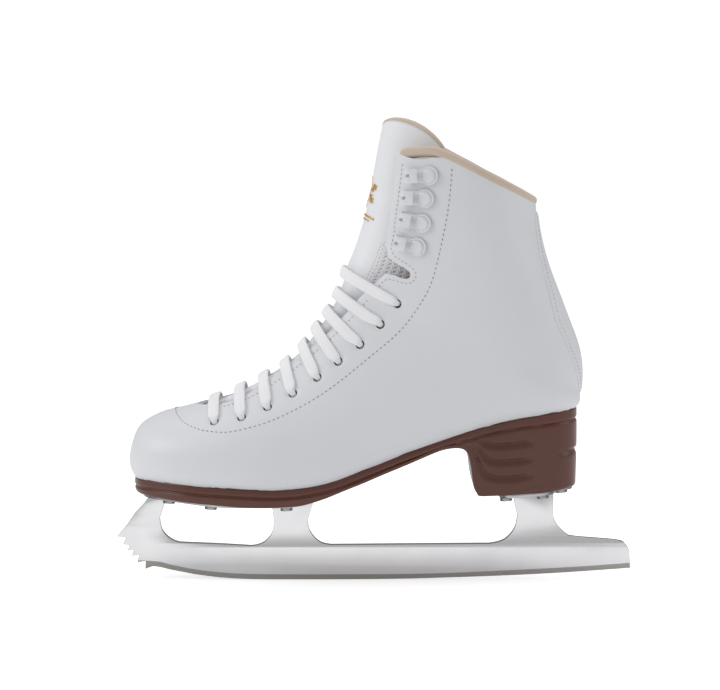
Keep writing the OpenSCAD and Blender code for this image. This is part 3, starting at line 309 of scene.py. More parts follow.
def thicken(obj, t, offset=-1.0):
    m = obj.modifiers.new("thickness", "SOLIDIFY")
    m.thickness, m.offset, m.use_even_offset = t * MM, offset, True
    m.use_quality_normals = True
    return m


def soften_edges(obj, width, segments=2, angle=40):
    m = obj.modifiers.new("edges", "BEVEL")
    m.width, m.segments, m.limit_method, m.angle_limit = width * MM, segments, "ANGLE", math.radians(angle)
    m.harden_normals = False
    m.use_clamp_overlap = True
    return m


def loft(rings, caps=True):
    """Surface through rings of equal length, as a welded bmesh grid; rings are in mm."""
    rings = np.asarray(rings, float)
    rows, cols = rings.shape[0], rings.shape[1]
    bm, s, t = grid(rows - 1, cols)
    i = np.rint(s * cols).astype(int) % cols
    j = np.rint(t * (rows - 1)).astype(int)
    move(bm, rings[j, i])
    weld(bm, 1e-6)
    if caps:
        ends = [e for e in bm.edges if e.is_boundary]
        bmesh.ops.holes_fill(bm, edges=ends, sides=0)
    outwards(bm)
    return bm


def refined(name, node, material, width, segments=2, angle=30):
    """A CAD node's own shape with its sharp edges rounded."""
    bm = bmesh.new()
    bm.from_mesh(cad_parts[node].data)
    bmesh.ops.remove_doubles(bm, verts=bm.verts, dist=2e-6)
    bmesh.ops.dissolve_limit(bm, angle_limit=math.radians(0.6), verts=bm.verts, edges=bm.edges)
    sharp = [e for e in bm.edges if len(e.link_faces) == 2 and e.calc_face_angle(0) > math.radians(angle)]
    bmesh.ops.bevel(bm, geom=sharp, offset=width * MM, offset_type="OFFSET", segments=segments, profile=0.5,
                    affect="EDGES", material=-1, clamp_overlap=True)
    obj = piece(name, bm, material, "boot", [node])
    smooth_by_angle(obj, 40)
    return obj


def smooth_by_angle(obj, degrees):
    bm = bmesh.new()
    bm.from_mesh(obj.data)
    for e in bm.edges:
        if len(e.link_faces) == 2 and e.calc_face_angle(0) > math.radians(degrees):
            e.smooth = False
    bm.to_mesh(obj.data)
    bm.free()


# ---- finishes ----


def node_group(name, inputs, outputs):
    g = bpy.data.node_groups.new(name, "ShaderNodeTree")
    for label, kind, value in inputs:
        socket = g.interface.new_socket(label, in_out="INPUT", socket_type=kind)
        socket.default_value = value
    for label, kind in outputs:
        g.interface.new_socket(label, in_out="OUTPUT", socket_type=kind)
    return g, g.nodes.new("NodeGroupInput"), g.nodes.new("NodeGroupOutput")


def node(tree, kind, links=None, **settings):
    n = tree.nodes.new(kind)
    for key, value in settings.items():
        if key.startswith("in_"):
            label = key[3:]
            n.inputs[int(label) if label.isdigit() else label.replace("_", " ")].default_value = value
        else:
            setattr(n, key, value)
    for key, source in (links or {}).items():
        tree.links.new(source, n.inputs[key])
    return n


def math_node(tree, operation, a, b=None):
    n = tree.nodes.new("ShaderNodeMath")
    n.operation = operation
    for k, value in enumerate((a, b)):
        if value is None:
            continue
        if isinstance(value, (int, float)):
            n.inputs[k].default_value = value
        else:
            tree.links.new(value, n.inputs[k])
    return n.outputs[0]


def mix_colour(tree, factor, a, b):
    n = tree.nodes.new("ShaderNodeMix")
    n.data_type = "RGBA"
    for key, value in ((0, factor), (6, a), (7, b)):
        if isinstance(value, (int, float, tuple)):
            n.inputs[key].default_value = value
        else:
            tree.links.new(value, n.inputs[key])
    return n.outputs[2]


def grain_group():
    """Leather grain: fine pebbles with creases between them, and a slow waviness."""
    g, i, o = node_group("grain", [("Scale", "NodeSocketFloat", 900.0), ("Wave", "NodeSocketFloat", 60.0)],
                         [("Height", "NodeSocketFloat"), ("Waviness", "NodeSocketFloat")])
    place = node(g, "ShaderNodeTexCoord").outputs["Object"]
    pebbles = node(g, "ShaderNodeTexVoronoi", {"Vector": place, "Scale": i.outputs["Scale"]},
                   feature="SMOOTH_F1")
    fine = node(g, "ShaderNodeTexNoise", {"Vector": place, "Scale": i.outputs["Scale"]}, in_Detail=3.0)
    slow = node(g, "ShaderNodeTexNoise", {"Vector": place, "Scale": i.outputs["Wave"]}, in_Detail=2.0)
    height = math_node(g, "ADD", math_node(g, "MULTIPLY", pebbles.outputs["Distance"], 0.6),
                       math_node(g, "MULTIPLY", fine.outputs["Fac"], 0.4))
    g.links.new(height, o.inputs["Height"])
    g.links.new(slow.outputs["Fac"], o.inputs["Waviness"])
    return g


def wear_group():
    """Slow uneven colour, and a roughness that follows it."""
    g, i, o = node_group("uneven", [("Colour", "NodeSocketColor", (1, 1, 1, 1)),
                                    ("Shade", "NodeSocketColor", (0, 0, 0, 1)),
                                    ("Scale", "NodeSocketFloat", 20.0), ("Roughness", "NodeSocketFloat", 0.5),
                                    ("Spread", "NodeSocketFloat", 0.1)],
                         [("Colour", "NodeSocketColor"), ("Roughness", "NodeSocketFloat")])
    place = node(g, "ShaderNodeTexCoord").outputs["Object"]
    n = node(g, "ShaderNodeTexNoise", {"Vector": place, "Scale": i.outputs["Scale"]},
             in_Detail=4.0, in_Roughness=0.6)
    band = node(g, "ShaderNodeMapRange", {"Value": n.outputs["Fac"]}, in_1=0.35, in_2=0.7)
    g.links.new(mix_colour(g, band.outputs[0], i.outputs["Colour"], i.outputs["Shade"]), o.inputs["Colour"])
    shift = math_node(g, "MULTIPLY", math_node(g, "SUBTRACT", band.outputs[0], 0.5), i.outputs["Spread"])
    g.links.new(math_node(g, "ADD", i.outputs["Roughness"], shift), o.inputs["Roughness"])
    return g


def weave_group():
    """Woven or knitted threads on a piece's own UV: across and along are threads to a unit of UV."""
    g, i, o = node_group("weave", [("Across", "NodeSocketFloat", 10.0), ("Along", "NodeSocketFloat", 100.0),
                                   ("Slant", "NodeSocketFloat", 0.0)],
                         [("Height", "NodeSocketFloat"), ("Gap", "NodeSocketFloat")])
    place = node(g, "ShaderNodeTexCoord").outputs["UV"]
    split = node(g, "ShaderNodeSeparateXYZ", {"Vector": place})
    x = math_node(g, "MULTIPLY", split.outputs[0], i.outputs["Across"])
    y = math_node(g, "MULTIPLY", split.outputs[1], i.outputs["Along"])
    zigzag = math_node(g, "PINGPONG", x, 0.5)
    y = math_node(g, "ADD", y, math_node(g, "MULTIPLY", zigzag, i.outputs["Slant"]))
    u = math_node(g, "SINE", math_node(g, "MULTIPLY", x, 2 * math.pi))
    w = math_node(g, "SINE", math_node(g, "MULTIPLY", y, 2 * math.pi))
    height = math_node(g, "ADD", 0.5, math_node(g, "MULTIPLY", math_node(g, "ADD", u, w), 0.25))
    g.links.new(height, o.inputs["Height"])
    gap = node(g, "ShaderNodeMapRange", {"Value": height}, in_1=0.28, in_2=0.08)
    g.links.new(gap.outputs[0], o.inputs["Gap"])
    return g


GRAIN, UNEVEN, WEAVE = grain_group(), wear_group(), weave_group()


def use_group(tree, group, **values):
    n = tree.nodes.new("ShaderNodeGroup")
    n.node_tree = group
    for key, value in values.items():
        n.inputs[key].default_value = value
    return n


def worn(tree, colour, shade, scale, roughness, spread):
    """The uneven finish, between its colour and its shade."""
    return use_group(tree, UNEVEN, Colour=(*colour, 1), Shade=(*shade, 1), Scale=scale,
                     Roughness=roughness, Spread=spread)


def material(name):
    m = bpy.data.materials.new(name)
    m.use_nodes = True
    tree = m.node_tree
    shader = tree.nodes["Principled BSDF"]
    return m, tree, shader


def bump(tree, shader, height, strength, distance, before=None):
    n = tree.nodes.new("ShaderNodeBump")
    n.inputs["Strength"].default_value = strength
    n.inputs["Distance"].default_value = distance
    tree.links.new(height, n.inputs["Height"])
    if before:
        tree.links.new(before.outputs[0], n.inputs["Normal"])
    tree.links.new(n.outputs[0], shader.inputs["Normal"])
    return n


def leather(name, colour, shade, roughness, scale=900.0, depth=0.00012, strength=0.25, coat=0.0, sheen=0.0):
    m, tree, shader = material(name)
    uneven = worn(tree, colour, shade, 14.0, roughness, 0.1)
    grain = use_group(tree, GRAIN, Scale=scale, Wave=45.0)
    tree.links.new(uneven.outputs["Colour"], shader.inputs["Base Color"])
    tree.links.new(uneven.outputs["Roughness"], shader.inputs["Roughness"])
    slow = bump(tree, shader, grain.outputs["Waviness"], 0.35, 0.0006)
    bump(tree, shader, grain.outputs["Height"], strength, depth, slow)
    shader.inputs["Coat Weight"].default_value = coat
    shader.inputs["Coat Roughness"].default_value = 0.35
    shader.inputs["Sheen Weight"].default_value = sheen
    return m


def cloth(name, colour, shade, across, along, slant=0.0, depth=0.0003, roughness=0.9, sheen=0.15, gap=0.5):
    m, tree, shader = material(name)
    uneven = worn(tree, colour, shade, 60.0, roughness, 0.08)
    weave = use_group(tree, WEAVE, Across=across, Along=along, Slant=slant)
    # Painted shade: the gaps between threads are darkened in the base colour, to gap times the shade colour,
    # for the shade in the hollows of the weave.
    gap_shade_colour = tuple(c * gap for c in shade)
    colours = mix_colour(tree, weave.outputs["Gap"], uneven.outputs["Colour"], (*gap_shade_colour, 1))
    tree.links.new(colours, shader.inputs["Base Color"])
    tree.links.new(uneven.outputs["Roughness"], shader.inputs["Roughness"])
    bump(tree, shader, weave.outputs["Height"], 0.6, depth)
    shader.inputs["Sheen Weight"].default_value = sheen
    return m


def painted_edge_reflection(tree, colour, dim=0.85):
    """Paints a dark reflection into polished metal's colour on the edges that turn away from the eye, as a
    dim room would reflect there.
    """
    facing = node(tree, "ShaderNodeLayerWeight", in_Blend=0.5).outputs["Facing"]
    rim = node(tree, "ShaderNodeMapRange", {"Value": facing}, in_1=0.06, in_2=0.32, in_4=dim)
    return mix_colour(tree, rim.outputs[0], colour, (0.09, 0.09, 0.10, 1))


def metal(name, colour, shade, roughness, dim=0.85):
    m, tree, shader = material(name)
    uneven = worn(tree, colour, shade, 35.0, roughness, 0.08)
    # Painted reflection: edges turned away from the eye are darkened in the base colour.
    tree.links.new(painted_edge_reflection(tree, uneven.outputs["Colour"], dim), shader.inputs["Base Color"])
    tree.links.new(uneven.outputs["Roughness"], shader.inputs["Roughness"])
    shader.inputs["Metallic"].default_value = 1.0
    place = node(tree, "ShaderNodeTexCoord").outputs["Object"]
    stretch = node(tree, "ShaderNodeMapping", {"Vector": place}, in_Scale=(60, 60, 60))
    n = node(tree, "ShaderNodeTexNoise", {"Vector": stretch.outputs[0]}, in_Scale=20.0, in_Detail=2.0)
    bump(tree, shader, n.outputs["Fac"], 0.12, 0.00004)
    return m


def blade_steel():
    """Polished steel, with the ground band along the running edge."""
    m, tree, shader = material("polished_blade")
    place = node(tree, "ShaderNodeTexCoord").outputs["Object"]
    split = node(tree, "ShaderNodeSeparateXYZ", {"Vector": place})
    along = node(tree, "ShaderNodeMapRange", {"Value": split.outputs[0]}, in_1=-0.15, in_2=0.15)
    curve = node(tree, "ShaderNodeFloatCurve", {"Value": along.outputs[0]})
    line = curve.mapping.curves[0]
    edge = [(-150, 8.6), (-128, 7.8), (-118, 5.8), (-103, 2.9), (-90, 1.3), (-77, 0.45), (-60, 0.05),
            (-25, 0.02), (22, 0.3), (73, 2.2), (110, 4.1), (150, 6.9)]
    spots = [((x + 150) / 300, z / 10) for x, z in edge]
    line.points[0].location, line.points[-1].location = spots[0], spots[-1]
    for s in spots[1:-1]:
        line.points.new(*s)
    curve.mapping.update()
    line_z = math_node(tree, "MULTIPLY", curve.outputs[0], 0.01)
    height = math_node(tree, "SUBTRACT", split.outputs[2], line_z)
    ground = node(tree, "ShaderNodeMapRange", {"Value": height}, in_1=0.0032, in_2=0.0029)
    uneven = worn(tree, (0.92, 0.92, 0.93), (0.85, 0.85, 0.87), 25.0, 0.16, 0.05)
    colour = mix_colour(tree, ground.outputs[0], uneven.outputs["Colour"], (0.42, 0.40, 0.38, 1))
    # Painted reflection: edges turned away from the eye are darkened in the base colour.
    tree.links.new(painted_edge_reflection(tree, colour), shader.inputs["Base Color"])
    coarser = math_node(tree, "MULTIPLY", ground.outputs[0], 0.22)
    rough = math_node(tree, "ADD", uneven.outputs["Roughness"], coarser)
    tree.links.new(rough, shader.inputs["Roughness"])
    shader.inputs["Metallic"].default_value = 1.0
    stretch = node(tree, "ShaderNodeMapping", {"Vector": place}, in_Scale=(900, 10, 30))
    scratch = node(tree, "ShaderNodeTexNoise", {"Vector": stretch.outputs[0]}, in_Scale=2.0, in_Detail=2.0)
    bump(tree, shader, math_node(tree, "MULTIPLY", scratch.outputs["Fac"], ground.outputs[0]), 0.3, 0.00003)
    return m


def plastic(name, colour, shade, roughness, coat=0.0, wave=0.15, scale=12.0):
    m, tree, shader = material(name)
    uneven = worn(tree, colour, shade, scale, roughness, 0.08)
    tree.links.new(uneven.outputs["Colour"], shader.inputs["Base Color"])
    tree.links.new(uneven.outputs["Roughness"], shader.inputs["Roughness"])
    place = node(tree, "ShaderNodeTexCoord").outputs["Object"]
    n = node(tree, "ShaderNodeTexNoise", {"Vector": place}, in_Scale=400.0, in_Detail=3.0)
    bump(tree, shader, n.outputs["Fac"], wave, 0.0001)
    shader.inputs["Coat Weight"].default_value = coat
    shader.inputs["Coat Roughness"].default_value = 0.12
    return m


WHITE_LEATHER = leather("white_leather", (0.80, 0.81, 0.84), (0.77, 0.785, 0.82), 0.42, coat=0.12)
BACKSTAY_LEATHER = leather("backstay_leather", (0.80, 0.81, 0.84), (0.765, 0.78, 0.81), 0.40, coat=0.15)
TONGUE_LEATHER = leather("tongue_leather", (0.90, 0.91, 0.935), (0.87, 0.88, 0.91), 0.45, coat=0.1)
COLLAR_LEATHER = leather("beige_leather", (0.68, 0.56, 0.45), (0.61, 0.50, 0.40), 0.75,
                         scale=1300.0, depth=0.0002, strength=0.5, sheen=0.25)
LINING_CLOTH = leather("lining_microfibre", (0.60, 0.51, 0.40), (0.55, 0.46, 0.36), 0.9,
                       scale=1500.0, strength=0.4, sheen=0.35)
MESH_KNIT = cloth("knitted_mesh", (0.88, 0.87, 0.91), (0.82, 0.81, 0.86), 58.0, 82.0,
                  slant=1.6, depth=0.0007, gap=0.55)
LACE_WEAVE = cloth("lace_weave", (0.95, 0.95, 0.97), (0.92, 0.92, 0.95), 12.0, 1.0,
                   slant=2.0, depth=0.00006, gap=0.94, sheen=0.1)
THREAD = cloth("grey_thread", (0.50, 0.51, 0.54), (0.42, 0.43, 0.46), 6.0, 12.0, depth=0.00005)
DARK_THREAD = cloth("dark_thread", (0.30, 0.30, 0.32), (0.23, 0.23, 0.25), 6.0, 12.0, depth=0.00005)
PALE_THREAD = cloth("pale_thread", (0.66, 0.67, 0.70), (0.58, 0.59, 0.62), 6.0, 12.0, depth=0.00005)
SOLE_RESIN = plastic("brown_resin", (0.115, 0.034, 0.020), (0.098, 0.028, 0.017), 0.36, coat=0.15, wave=0.1)
BLADE_STEEL = blade_steel()
PLATE_STEEL = metal("polished_plate", (0.62, 0.62, 0.64), (0.46, 0.46, 0.48), 0.22)
SCREW_STEEL = metal("screw_steel", (0.46, 0.46, 0.48), (0.34, 0.34, 0.36), 0.3)
EYELET_METAL = metal("eyelet_metal", (0.6, 0.6, 0.62), (0.5, 0.5, 0.52), 0.35)
WHITE_ENAMEL = plastic("white_enamel", (0.80, 0.81, 0.84), (0.77, 0.78, 0.81), 0.22, coat=0.5, wave=0.05)
GOLD_PRINT = metal("gold_foil", (0.80, 0.50, 0.14), (0.70, 0.41, 0.10), 0.4, dim=0.1)
CLEAR_TIP = plastic("clear_tip", (0.8, 0.8, 0.8), (0.72, 0.72, 0.72), 0.2, coat=0.3)
HIDDEN = {
    "stiffener": plastic("stiffener_sheet", (0.45, 0.30, 0.18), (0.38, 0.25, 0.15), 0.7),
    "cork": plastic("cork_filler", (0.40, 0.26, 0.13), (0.22, 0.13, 0.06), 0.9, wave=0.8, scale=300.0),
    "leatherboard": plastic("leatherboard", (0.28, 0.16, 0.09), (0.20, 0.11, 0.06), 0.85, wave=0.5,
                            scale=120.0),
    "facing": leather("facing_leather", (0.72, 0.72, 0.72), (0.66, 0.66, 0.66), 0.7),
}

# ---- upper ----


def rim_lines(drop):
    """Section of the collar's line, less drop, at any angle."""
    line = smooth(COLLAR, 4)
    v, a, _, _ = where(line)
    a[-1] = 180.0
    speed = np.linalg.norm(on_boot(v + 0.1, a) - on_boot(v - 0.1, a), axis=1) / 0.2
    v = v - drop / speed
    return lambda angle: np.interp(np.where(angle > 180, 360 - angle, angle), a, v)


def upper_grid(depth, rows_front, finer, cols, drop):
    """The upper's skin from the toe to the collar, open along the throat: bmesh, sections, angles."""
    v, a, _, _ = where(smooth(THROAT, finer))
    rim = rim_lines(drop)
    v = np.maximum.accumulate(v + np.arange(len(v)) * 1e-5)
    keep = v < rim(a)
    v, a = v[keep], a[keep]
    last = rim(a[-1])
    toe_v = 0.02 + 3.84 * np.linspace(0, 1, rows_front, endpoint=False) ** 1.35
    edge_v = np.concatenate([toe_v, v, [last]])
    edge_a = np.concatenate([np.zeros(rows_front), a, [a[-1]]])
    edge_a[rows_front] = edge_a[rows_front] * 0.6
    n = len(edge_v) - 1
    bm, s, t = grid(n, cols)
    k = np.rint(t * n).astype(int)
    angle = edge_a[k] + (360 - 2 * edge_a[k]) * s
    start = edge_v[rows_front]
    part = np.clip((k - rows_front) / (n - rows_front), 0, 1)
    even = np.where(k < rows_front, edge_v[k], start + (rim(angle) - start) * part)
    away = ease(np.minimum(s, 1 - s) / 0.16)
    section_v = edge_v[k] + (even - edge_v[k]) * away
    d = depth(section_v, angle) if callable(depth) else depth
    return bm, section_v, angle, on_boot(section_v, angle, d)


def into_recess(points, clear=2.45):
    """Draws what lies below the sole's lip in under the rim."""
    p = points.copy()
    below = p[:, 2] - GROUND < lip_z(p[:, 0]) - 0.2
    x = np.clip(p[:, 0], SOLE_X[0], SOLE_X[-1])
    for which, line in ((LATERAL, SOLE_LATERAL), (MEDIAL, SOLE_MEDIAL)):
        limit = np.interp(x, SOLE_X, line)
        inner = limit - which * clear
        beyond = below & ((p[:, 1] - inner) * which > 0)
        p[beyond, 1] = inner[beyond]
    ends = below & (p[:, 0] < SOLE_X[0] + clear)
    p[ends, 0] = SOLE_X[0] + clear
    ends = below & (p[:, 0] > SOLE_X[-1] - clear)
    p[ends, 0] = SOLE_X[-1] - clear
    return p


def sole_outline():
    """The boot's outline at the lip of the sole: x, and y at each side."""

    def inside(x):
        v = where([(x, lip_z(x))])[0]
        front, back = ring(v, 0.0)[:2]
        e = (back - front)[0]
        t = (np.array([x, lip_z(x)]) - front[0]) @ e / (e @ e)
        return 0.001 < t < 0.999

    def edge(a, b):
        for _ in range(20):
            m = (a + b) / 2
            a, b = (m, b) if inside(m) else (a, m)
        return a

    x0, x1 = edge(-120.0, -143.0), edge(100.0, 124.0)
    x = x0 + (x1 - x0) * (1 - np.cos(np.linspace(0, math.pi, 140))) / 2
    line = np.stack([x, lip_z(x)], 1)
    return x, on_side(line, LATERAL)[:, 1], on_side(line, MEDIAL)[:, 1]


SOLE_X, SOLE_LATERAL, SOLE_MEDIAL = sole_outline()


def hole_cutters(spots, radius, sides=20):
    """One mesh of rods through the leather at the given side-view places, both sides."""
    bm = bmesh.new()
    for which in (LATERAL, MEDIAL):
        for c, n in zip(on_side(spots, which), outward(spots, which)):
            turn = Vector(n).to_track_quat("Z", "Y").to_matrix().to_4x4()
            bmesh.ops.create_cone(bm, cap_ends=True, segments=sides, radius1=radius * MM,
                                  radius2=radius * MM, depth=10 * MM,
                                  matrix=Matrix.Translation(Vector(c * MM)) @ turn)
    mesh = bpy.data.meshes.new("cutters")
    bm.to_mesh(mesh)
    bm.free()
    obj = bpy.data.objects.new("cutters", mesh)
    scene.collection.objects.link(obj)
    return obj


def cut_with(obj, cutters):
    m = obj.modifiers.new("holes", "BOOLEAN")
    m.operation, m.object, m.solver = "DIFFERENCE", cutters, "EXACT"
    apply_modifiers(obj)
    bpy.data.objects.remove(cutters)


def make_upper():
    bm, _, _, points = upper_grid(0.0, 26, 3, 116, 0.5)
    move(bm, into_recess(points))
    weld(bm, 1e-5)
    normals_out(bm)
    obj = piece("upper_leather", bm, WHITE_LEATHER, None)
    thicken(obj, LEATHER)
    apply_modifiers(obj)
    cut_with(obj, hole_cutters(EYELETS, 2.6))
    soften_edges(obj, 0.35, 2, 50)
    apply_modifiers(obj)
    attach(obj, "boot")
    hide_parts("upper_outer")


def normals_out(bm):
    """Turns an open skin of the boot so that its faces look away from the middle of the foot."""
    score = 0.0
    for f in bm.faces:
        c = f.calc_center_median()
        core = Vector((c.x, 0.0, c.z))
        if abs(c.y) > 0.02:
            score += f.calc_area() * f.normal.dot((c - core).normalized())
    if score < 0:
        bmesh.ops.reverse_faces(bm, faces=bm.faces)


def lining_depth(v, a):
    back = np.minimum(np.abs(a), 360 - np.abs(a))
    return LINING_IN - 1 + (SHAFT_PAD - LINING_IN + 1) * ease((v - 10.6) / 1.6) * ease((back - 62) / 30)


def make_lining():
    bm, _, _, points = upper_grid(lining_depth, 14, 1, 72, 3.0)
    move(bm, points)
    weld(bm, 1e-5)
    normals_out(bm)
    obj = piece("shaft_and_foot_lining", bm, LINING_CLOTH, None)
    thicken(obj, 1.0)
    apply_modifiers(obj)
    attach(obj, "boot")
    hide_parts("lining", "ankle_pad_lateral", "ankle_pad_medial")


def make_collar():
    """Padded roll round the top of the shaft, gently uneven, with its ends turned in."""
    rim = rim_lines(0.0)
    a0 = float(where(COLLAR[:1])[1][0])
    n, m = 150, 20
    a = np.linspace(a0, 360 - a0, n)
    v = rim(a)
    outer, inner = on_boot(v, a, -0.9), on_boot(v, a, SHAFT_PAD + 1.0)
    up = on_boot(v + 0.1, a) - on_boot(v - 0.1, a)
    up = up / np.linalg.norm(up, axis=1)[:, None]
    across = (outer - inner) / 2
    centre = (outer + inner) / 2
    rings = []
    for k in range(n):
        end = min(k, n - 1 - k)
        size = 1.0 if end > 2 else (0.80, 0.93, 0.985)[end]
        puff = 1 + 0.018 * math.sin(k * 0.55) + 0.012 * math.sin(k * 0.23 + 1)
        ring_points = []
        for j in range(m):
            t = 2 * math.pi * j / m
            c, s = math.cos(t), math.sin(t)
            flat = np.sign(s) * abs(s) ** 0.85
            ring_points.append(centre[k] + across[k] * c * size + up[k] * 3.1 * puff * flat * size)
        rings.append(ring_points)
    bm = loft(rings)
    soften_ends(bm)
    obj = piece("collar_roll", bm, COLLAR_LEATHER, "boot", ["collar"])
    obj.modifiers.new("smooth", "SUBSURF").levels = 1
    obj.modifiers["smooth"].render_levels = 1


def soften_ends(bm):
    caps = [f for f in bm.faces if len(f.verts) > 8]
    if caps:
        bmesh.ops.inset_region(bm, faces=caps, thickness=0.6 * MM, depth=0.25 * MM)


def make_backstay():
    """Strip up the back of the heel, narrow at both ends, sewn along both sides."""
    v_line = [10.75, 11.2, 12, 12.6, 13.4, 14.2, 15, 15.55]
    half = [12.5, 21, 33, 37, 32, 26, 21, 18.5]
    bm, s, t = grid(60, 28)
    v = 10.75 + (15.55 - 10.75) * t
    h = np.interp(v, v_line, half)
    a = 180 + (2 * s - 1) * h
    lift = 0.25 + 1.0 * (1 - np.abs(2 * s - 1) ** 8) * (1 - np.abs(2 * t - 1) ** 30)
    move(bm, on_boot(v, a, -lift))
    normals_out(bm)
    obj = piece("backstay_strip", bm, BACKSTAY_LEATHER, None)
    thicken(obj, 1.0)
    soften_edges(obj, 0.3, 2, 40)
    apply_modifiers(obj)
    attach(obj, "boot")
    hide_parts("backstay")
    rows = []
    for side in (-1, 1):
        vv = np.linspace(10.9, 15.45, 90)
        aa = 180 + side * (np.interp(vv, v_line, half) - 3.4)
        rows.append((on_boot(vv, aa, -1.35), -boot_normal_out(vv, aa)))
    return rows


def boot_normal_out(v, a):
    inside = on_boot(v, a, 2.0) - on_boot(v, a, 0.0)
    return inside / np.linalg.norm(inside, axis=1)[:, None]


def make_stitches(name, rows, step=2.7, length=1.9, thick=0.27, body="boot", mat=None):
    """Short raised stitches along each row; a row is its points and the way out of the surface."""
    bm = bmesh.new()
    for points, normals in rows:
        run = np.concatenate([[0], np.cumsum(np.linalg.norm(np.diff(points, axis=0), axis=1))])
        marks = np.arange(step / 2, run[-1], step)
        at = lambda m, table: np.array([np.interp(m, run, table[:, k]) for k in range(3)])
        for mark in marks:
            c, n = at(mark, points), Vector(at(mark, normals)).normalized()
            step_on = at(min(mark + 0.5, run[-1]), points) - at(max(mark - 0.5, 0), points)
            along = Vector(step_on).normalized()
            side = n.cross(along).normalized()
            turn = Matrix((along, side, along.cross(side))).transposed().to_4x4()
            size = Matrix.Diagonal((length / 2 * MM, thick * MM, thick * MM, 1))
            bmesh.ops.create_uvsphere(bm, u_segments=6, v_segments=4, radius=1.0,
                                      matrix=Matrix.Translation(Vector(c * MM)) @ turn @ size)
    return piece(name, bm, mat or THREAD, body)


def seam_rows(line, lift=0.1):
    p = evenly(smooth(line, 4), 1.0)
    return [(on_side(p, w, -lift), outward(p, w)) for w in (LATERAL, MEDIAL)]


# ---- tongue ----
ARCH = np.array([[9, 1.8, 19.6, 30], [9.8, 1.0, 20, 33], [10.6, 0.8, 20.2, 36], [11.5, 1.5, 20.4, 39],
                 [13.2, 1.9, 20.4, 39], [13.7, 2.9, 20.4, 39], [14.1, 1.7, 20.4, 40], [18, 2.3, 20.4, 40]])
UNDER_VAMP = np.array([[3.9, 2.6, 18], [4.5, 2.2, 30], [5.2, 2.05, 37], [6.5, 2.0, 40], [7.5, 2.0, 45],
                       [8.5, 1.8, 50], [9.5, 1.5, 54], [10.6, 0.8, 58]])
TONGUE_SIDE = 10.7
V_TONGUE = 4.0
TONGUE_SKINS, TONGUE_FOAM = 2.0 + 1.0, 4.6
V_FOLD = 10.62


def on_tongue(v, a, d):
    v, a, d = np.broadcast_arrays(np.asarray(v, float), np.asarray(a, float), np.asarray(d, float))
    front, back, _, _, _, _, yc = ring(v, np.zeros_like(v))
    f = [np.interp(v, ARCH[:, 0], ARCH[:, k]) for k in (1, 2, 3)]
    e = (back - front) / np.linalg.norm(back - front, axis=-1)[..., None]
    ca, sa = np.cos(np.radians(a)), np.sin(np.radians(a))
    deep = f[0] + d + (f[2] - d) * (1 - ca)
    xz = front + e * deep[..., None]
    arch = np.stack([xz[..., 0], yc - (f[1] - d) * sa, xz[..., 1] + GROUND], -1)
    g = [np.interp(v, UNDER_VAMP[:, 0], UNDER_VAMP[:, k]) for k in (1, 2)]
    deep = g[0] + (TONGUE_SIDE - g[0]) * ease((np.abs(a) - 24) / 34)
    below = on_boot(v, a / 90 * g[1], deep + d)
    q = ease((v - 9.3) / 1.2)[..., None]
    return below + (arch - below) * q


def tongue_top(a):
    a = np.abs(a)
    return 15.82 + 0.62 * np.sin(np.radians(1.2 * a)) - 0.45 * (a / 90) ** 6


def leather_edge(v):
    """Angle at which the tongue's leather ends: the knitted side shows only below the hooks."""
    return 51 + 42 * ease((v - 12.15) / 0.8)


def thin(a):
    return 1 - 0.5 * (np.abs(a) / 90) ** 3


def make_tongue():
    """One padded piece: leather front, knitted sides and soft lining."""
    n, m = 96, 84
    bm, s, t = grid(n, 2 * m)
    turn = s * 2
    outer = turn <= 1
    a = np.where(outer, -90 + 180 * turn, 90 - 180 * (turn - 1))
    v = V_TONGUE + (tongue_top(a) - V_TONGUE) * t
    depth_in = TONGUE_SKINS + TONGUE_FOAM * thin(a)
    puff = 0.35 * np.sin(np.radians(np.abs(a) * 2)) * np.clip((v - 9.5) / 2, 0, 1)
    round_edge = 1 - np.clip((90 - np.abs(a)) / 5, 0, 1)
    rounded = 0.35 * round_edge ** 2
    d = np.where(outer, -puff * 0.4 + depth_in * rounded, depth_in * (1 - rounded))
    move(bm, on_tongue(v, a, d))
    weld(bm, 1e-5)
    ends = [e for e in bm.edges if e.is_boundary]
    bmesh.ops.holes_fill(bm, edges=ends, sides=0)
    outwards(bm)
    uv = bm.loops.layers.uv["UVMap"]
    for f in bm.faces:
        u = sum(l[uv].uv.x for l in f.loops) / len(f.loops)
        angle = -90 + 360 * u
        along = sum(l[uv].uv.y for l in f.loops) / len(f.loops)
        level = V_TONGUE + (tongue_top(angle) - V_TONGUE) * along
        f.material_index = 2 if u > 0.5 else (0 if abs(angle) < leather_edge(level) else 1)
    obj = piece("tongue", bm, [TONGUE_LEATHER, MESH_KNIT, LINING_CLOTH], None)
    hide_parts("tongue_leather_lower", "tongue_leather_upper", "tongue_mesh_lower", "tongue_mesh_upper",
                "tongue_foam_lower", "tongue_foam_upper", "tongue_lining_lower", "tongue_lining_upper")
    start, end = on_tongue(V_FOLD - 0.7, 0, 3) * MM, on_tongue(V_FOLD + 0.7, 0, 3) * MM
    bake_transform(obj)


def make_binding():
    """Soft band over the tongue's top edge."""
    n, m = 90, 16
    a = np.linspace(-89, 89, n)
    top = tongue_top(a)
    rings = []
    for k in range(n):
        mid = (TONGUE_SKINS + TONGUE_FOAM * thin(a[k])) / 2
        centre = on_tongue(top[k], a[k], mid)
        up = on_tongue(top[k] + 0.1, a[k], mid) - on_tongue(top[k] - 0.1, a[k], mid)
        up = up / np.linalg.norm(up)
        out = on_tongue(top[k], a[k], 0.0) - centre
        end = min(k, n - 1 - k)
        size = (0.75, 0.92, 1.0)[min(end, 2)]
        rings.append([centre + size * (out * 1.06 * math.cos(t) + up * 2.2 * math.sin(t))
                      for t in np.linspace(0, 2 * math.pi, m, endpoint=False)])
    bm = loft(rings)
    obj = piece("tongue_binding_roll", bm, COLLAR_LEATHER, "tongue", ["tongue_binding"])


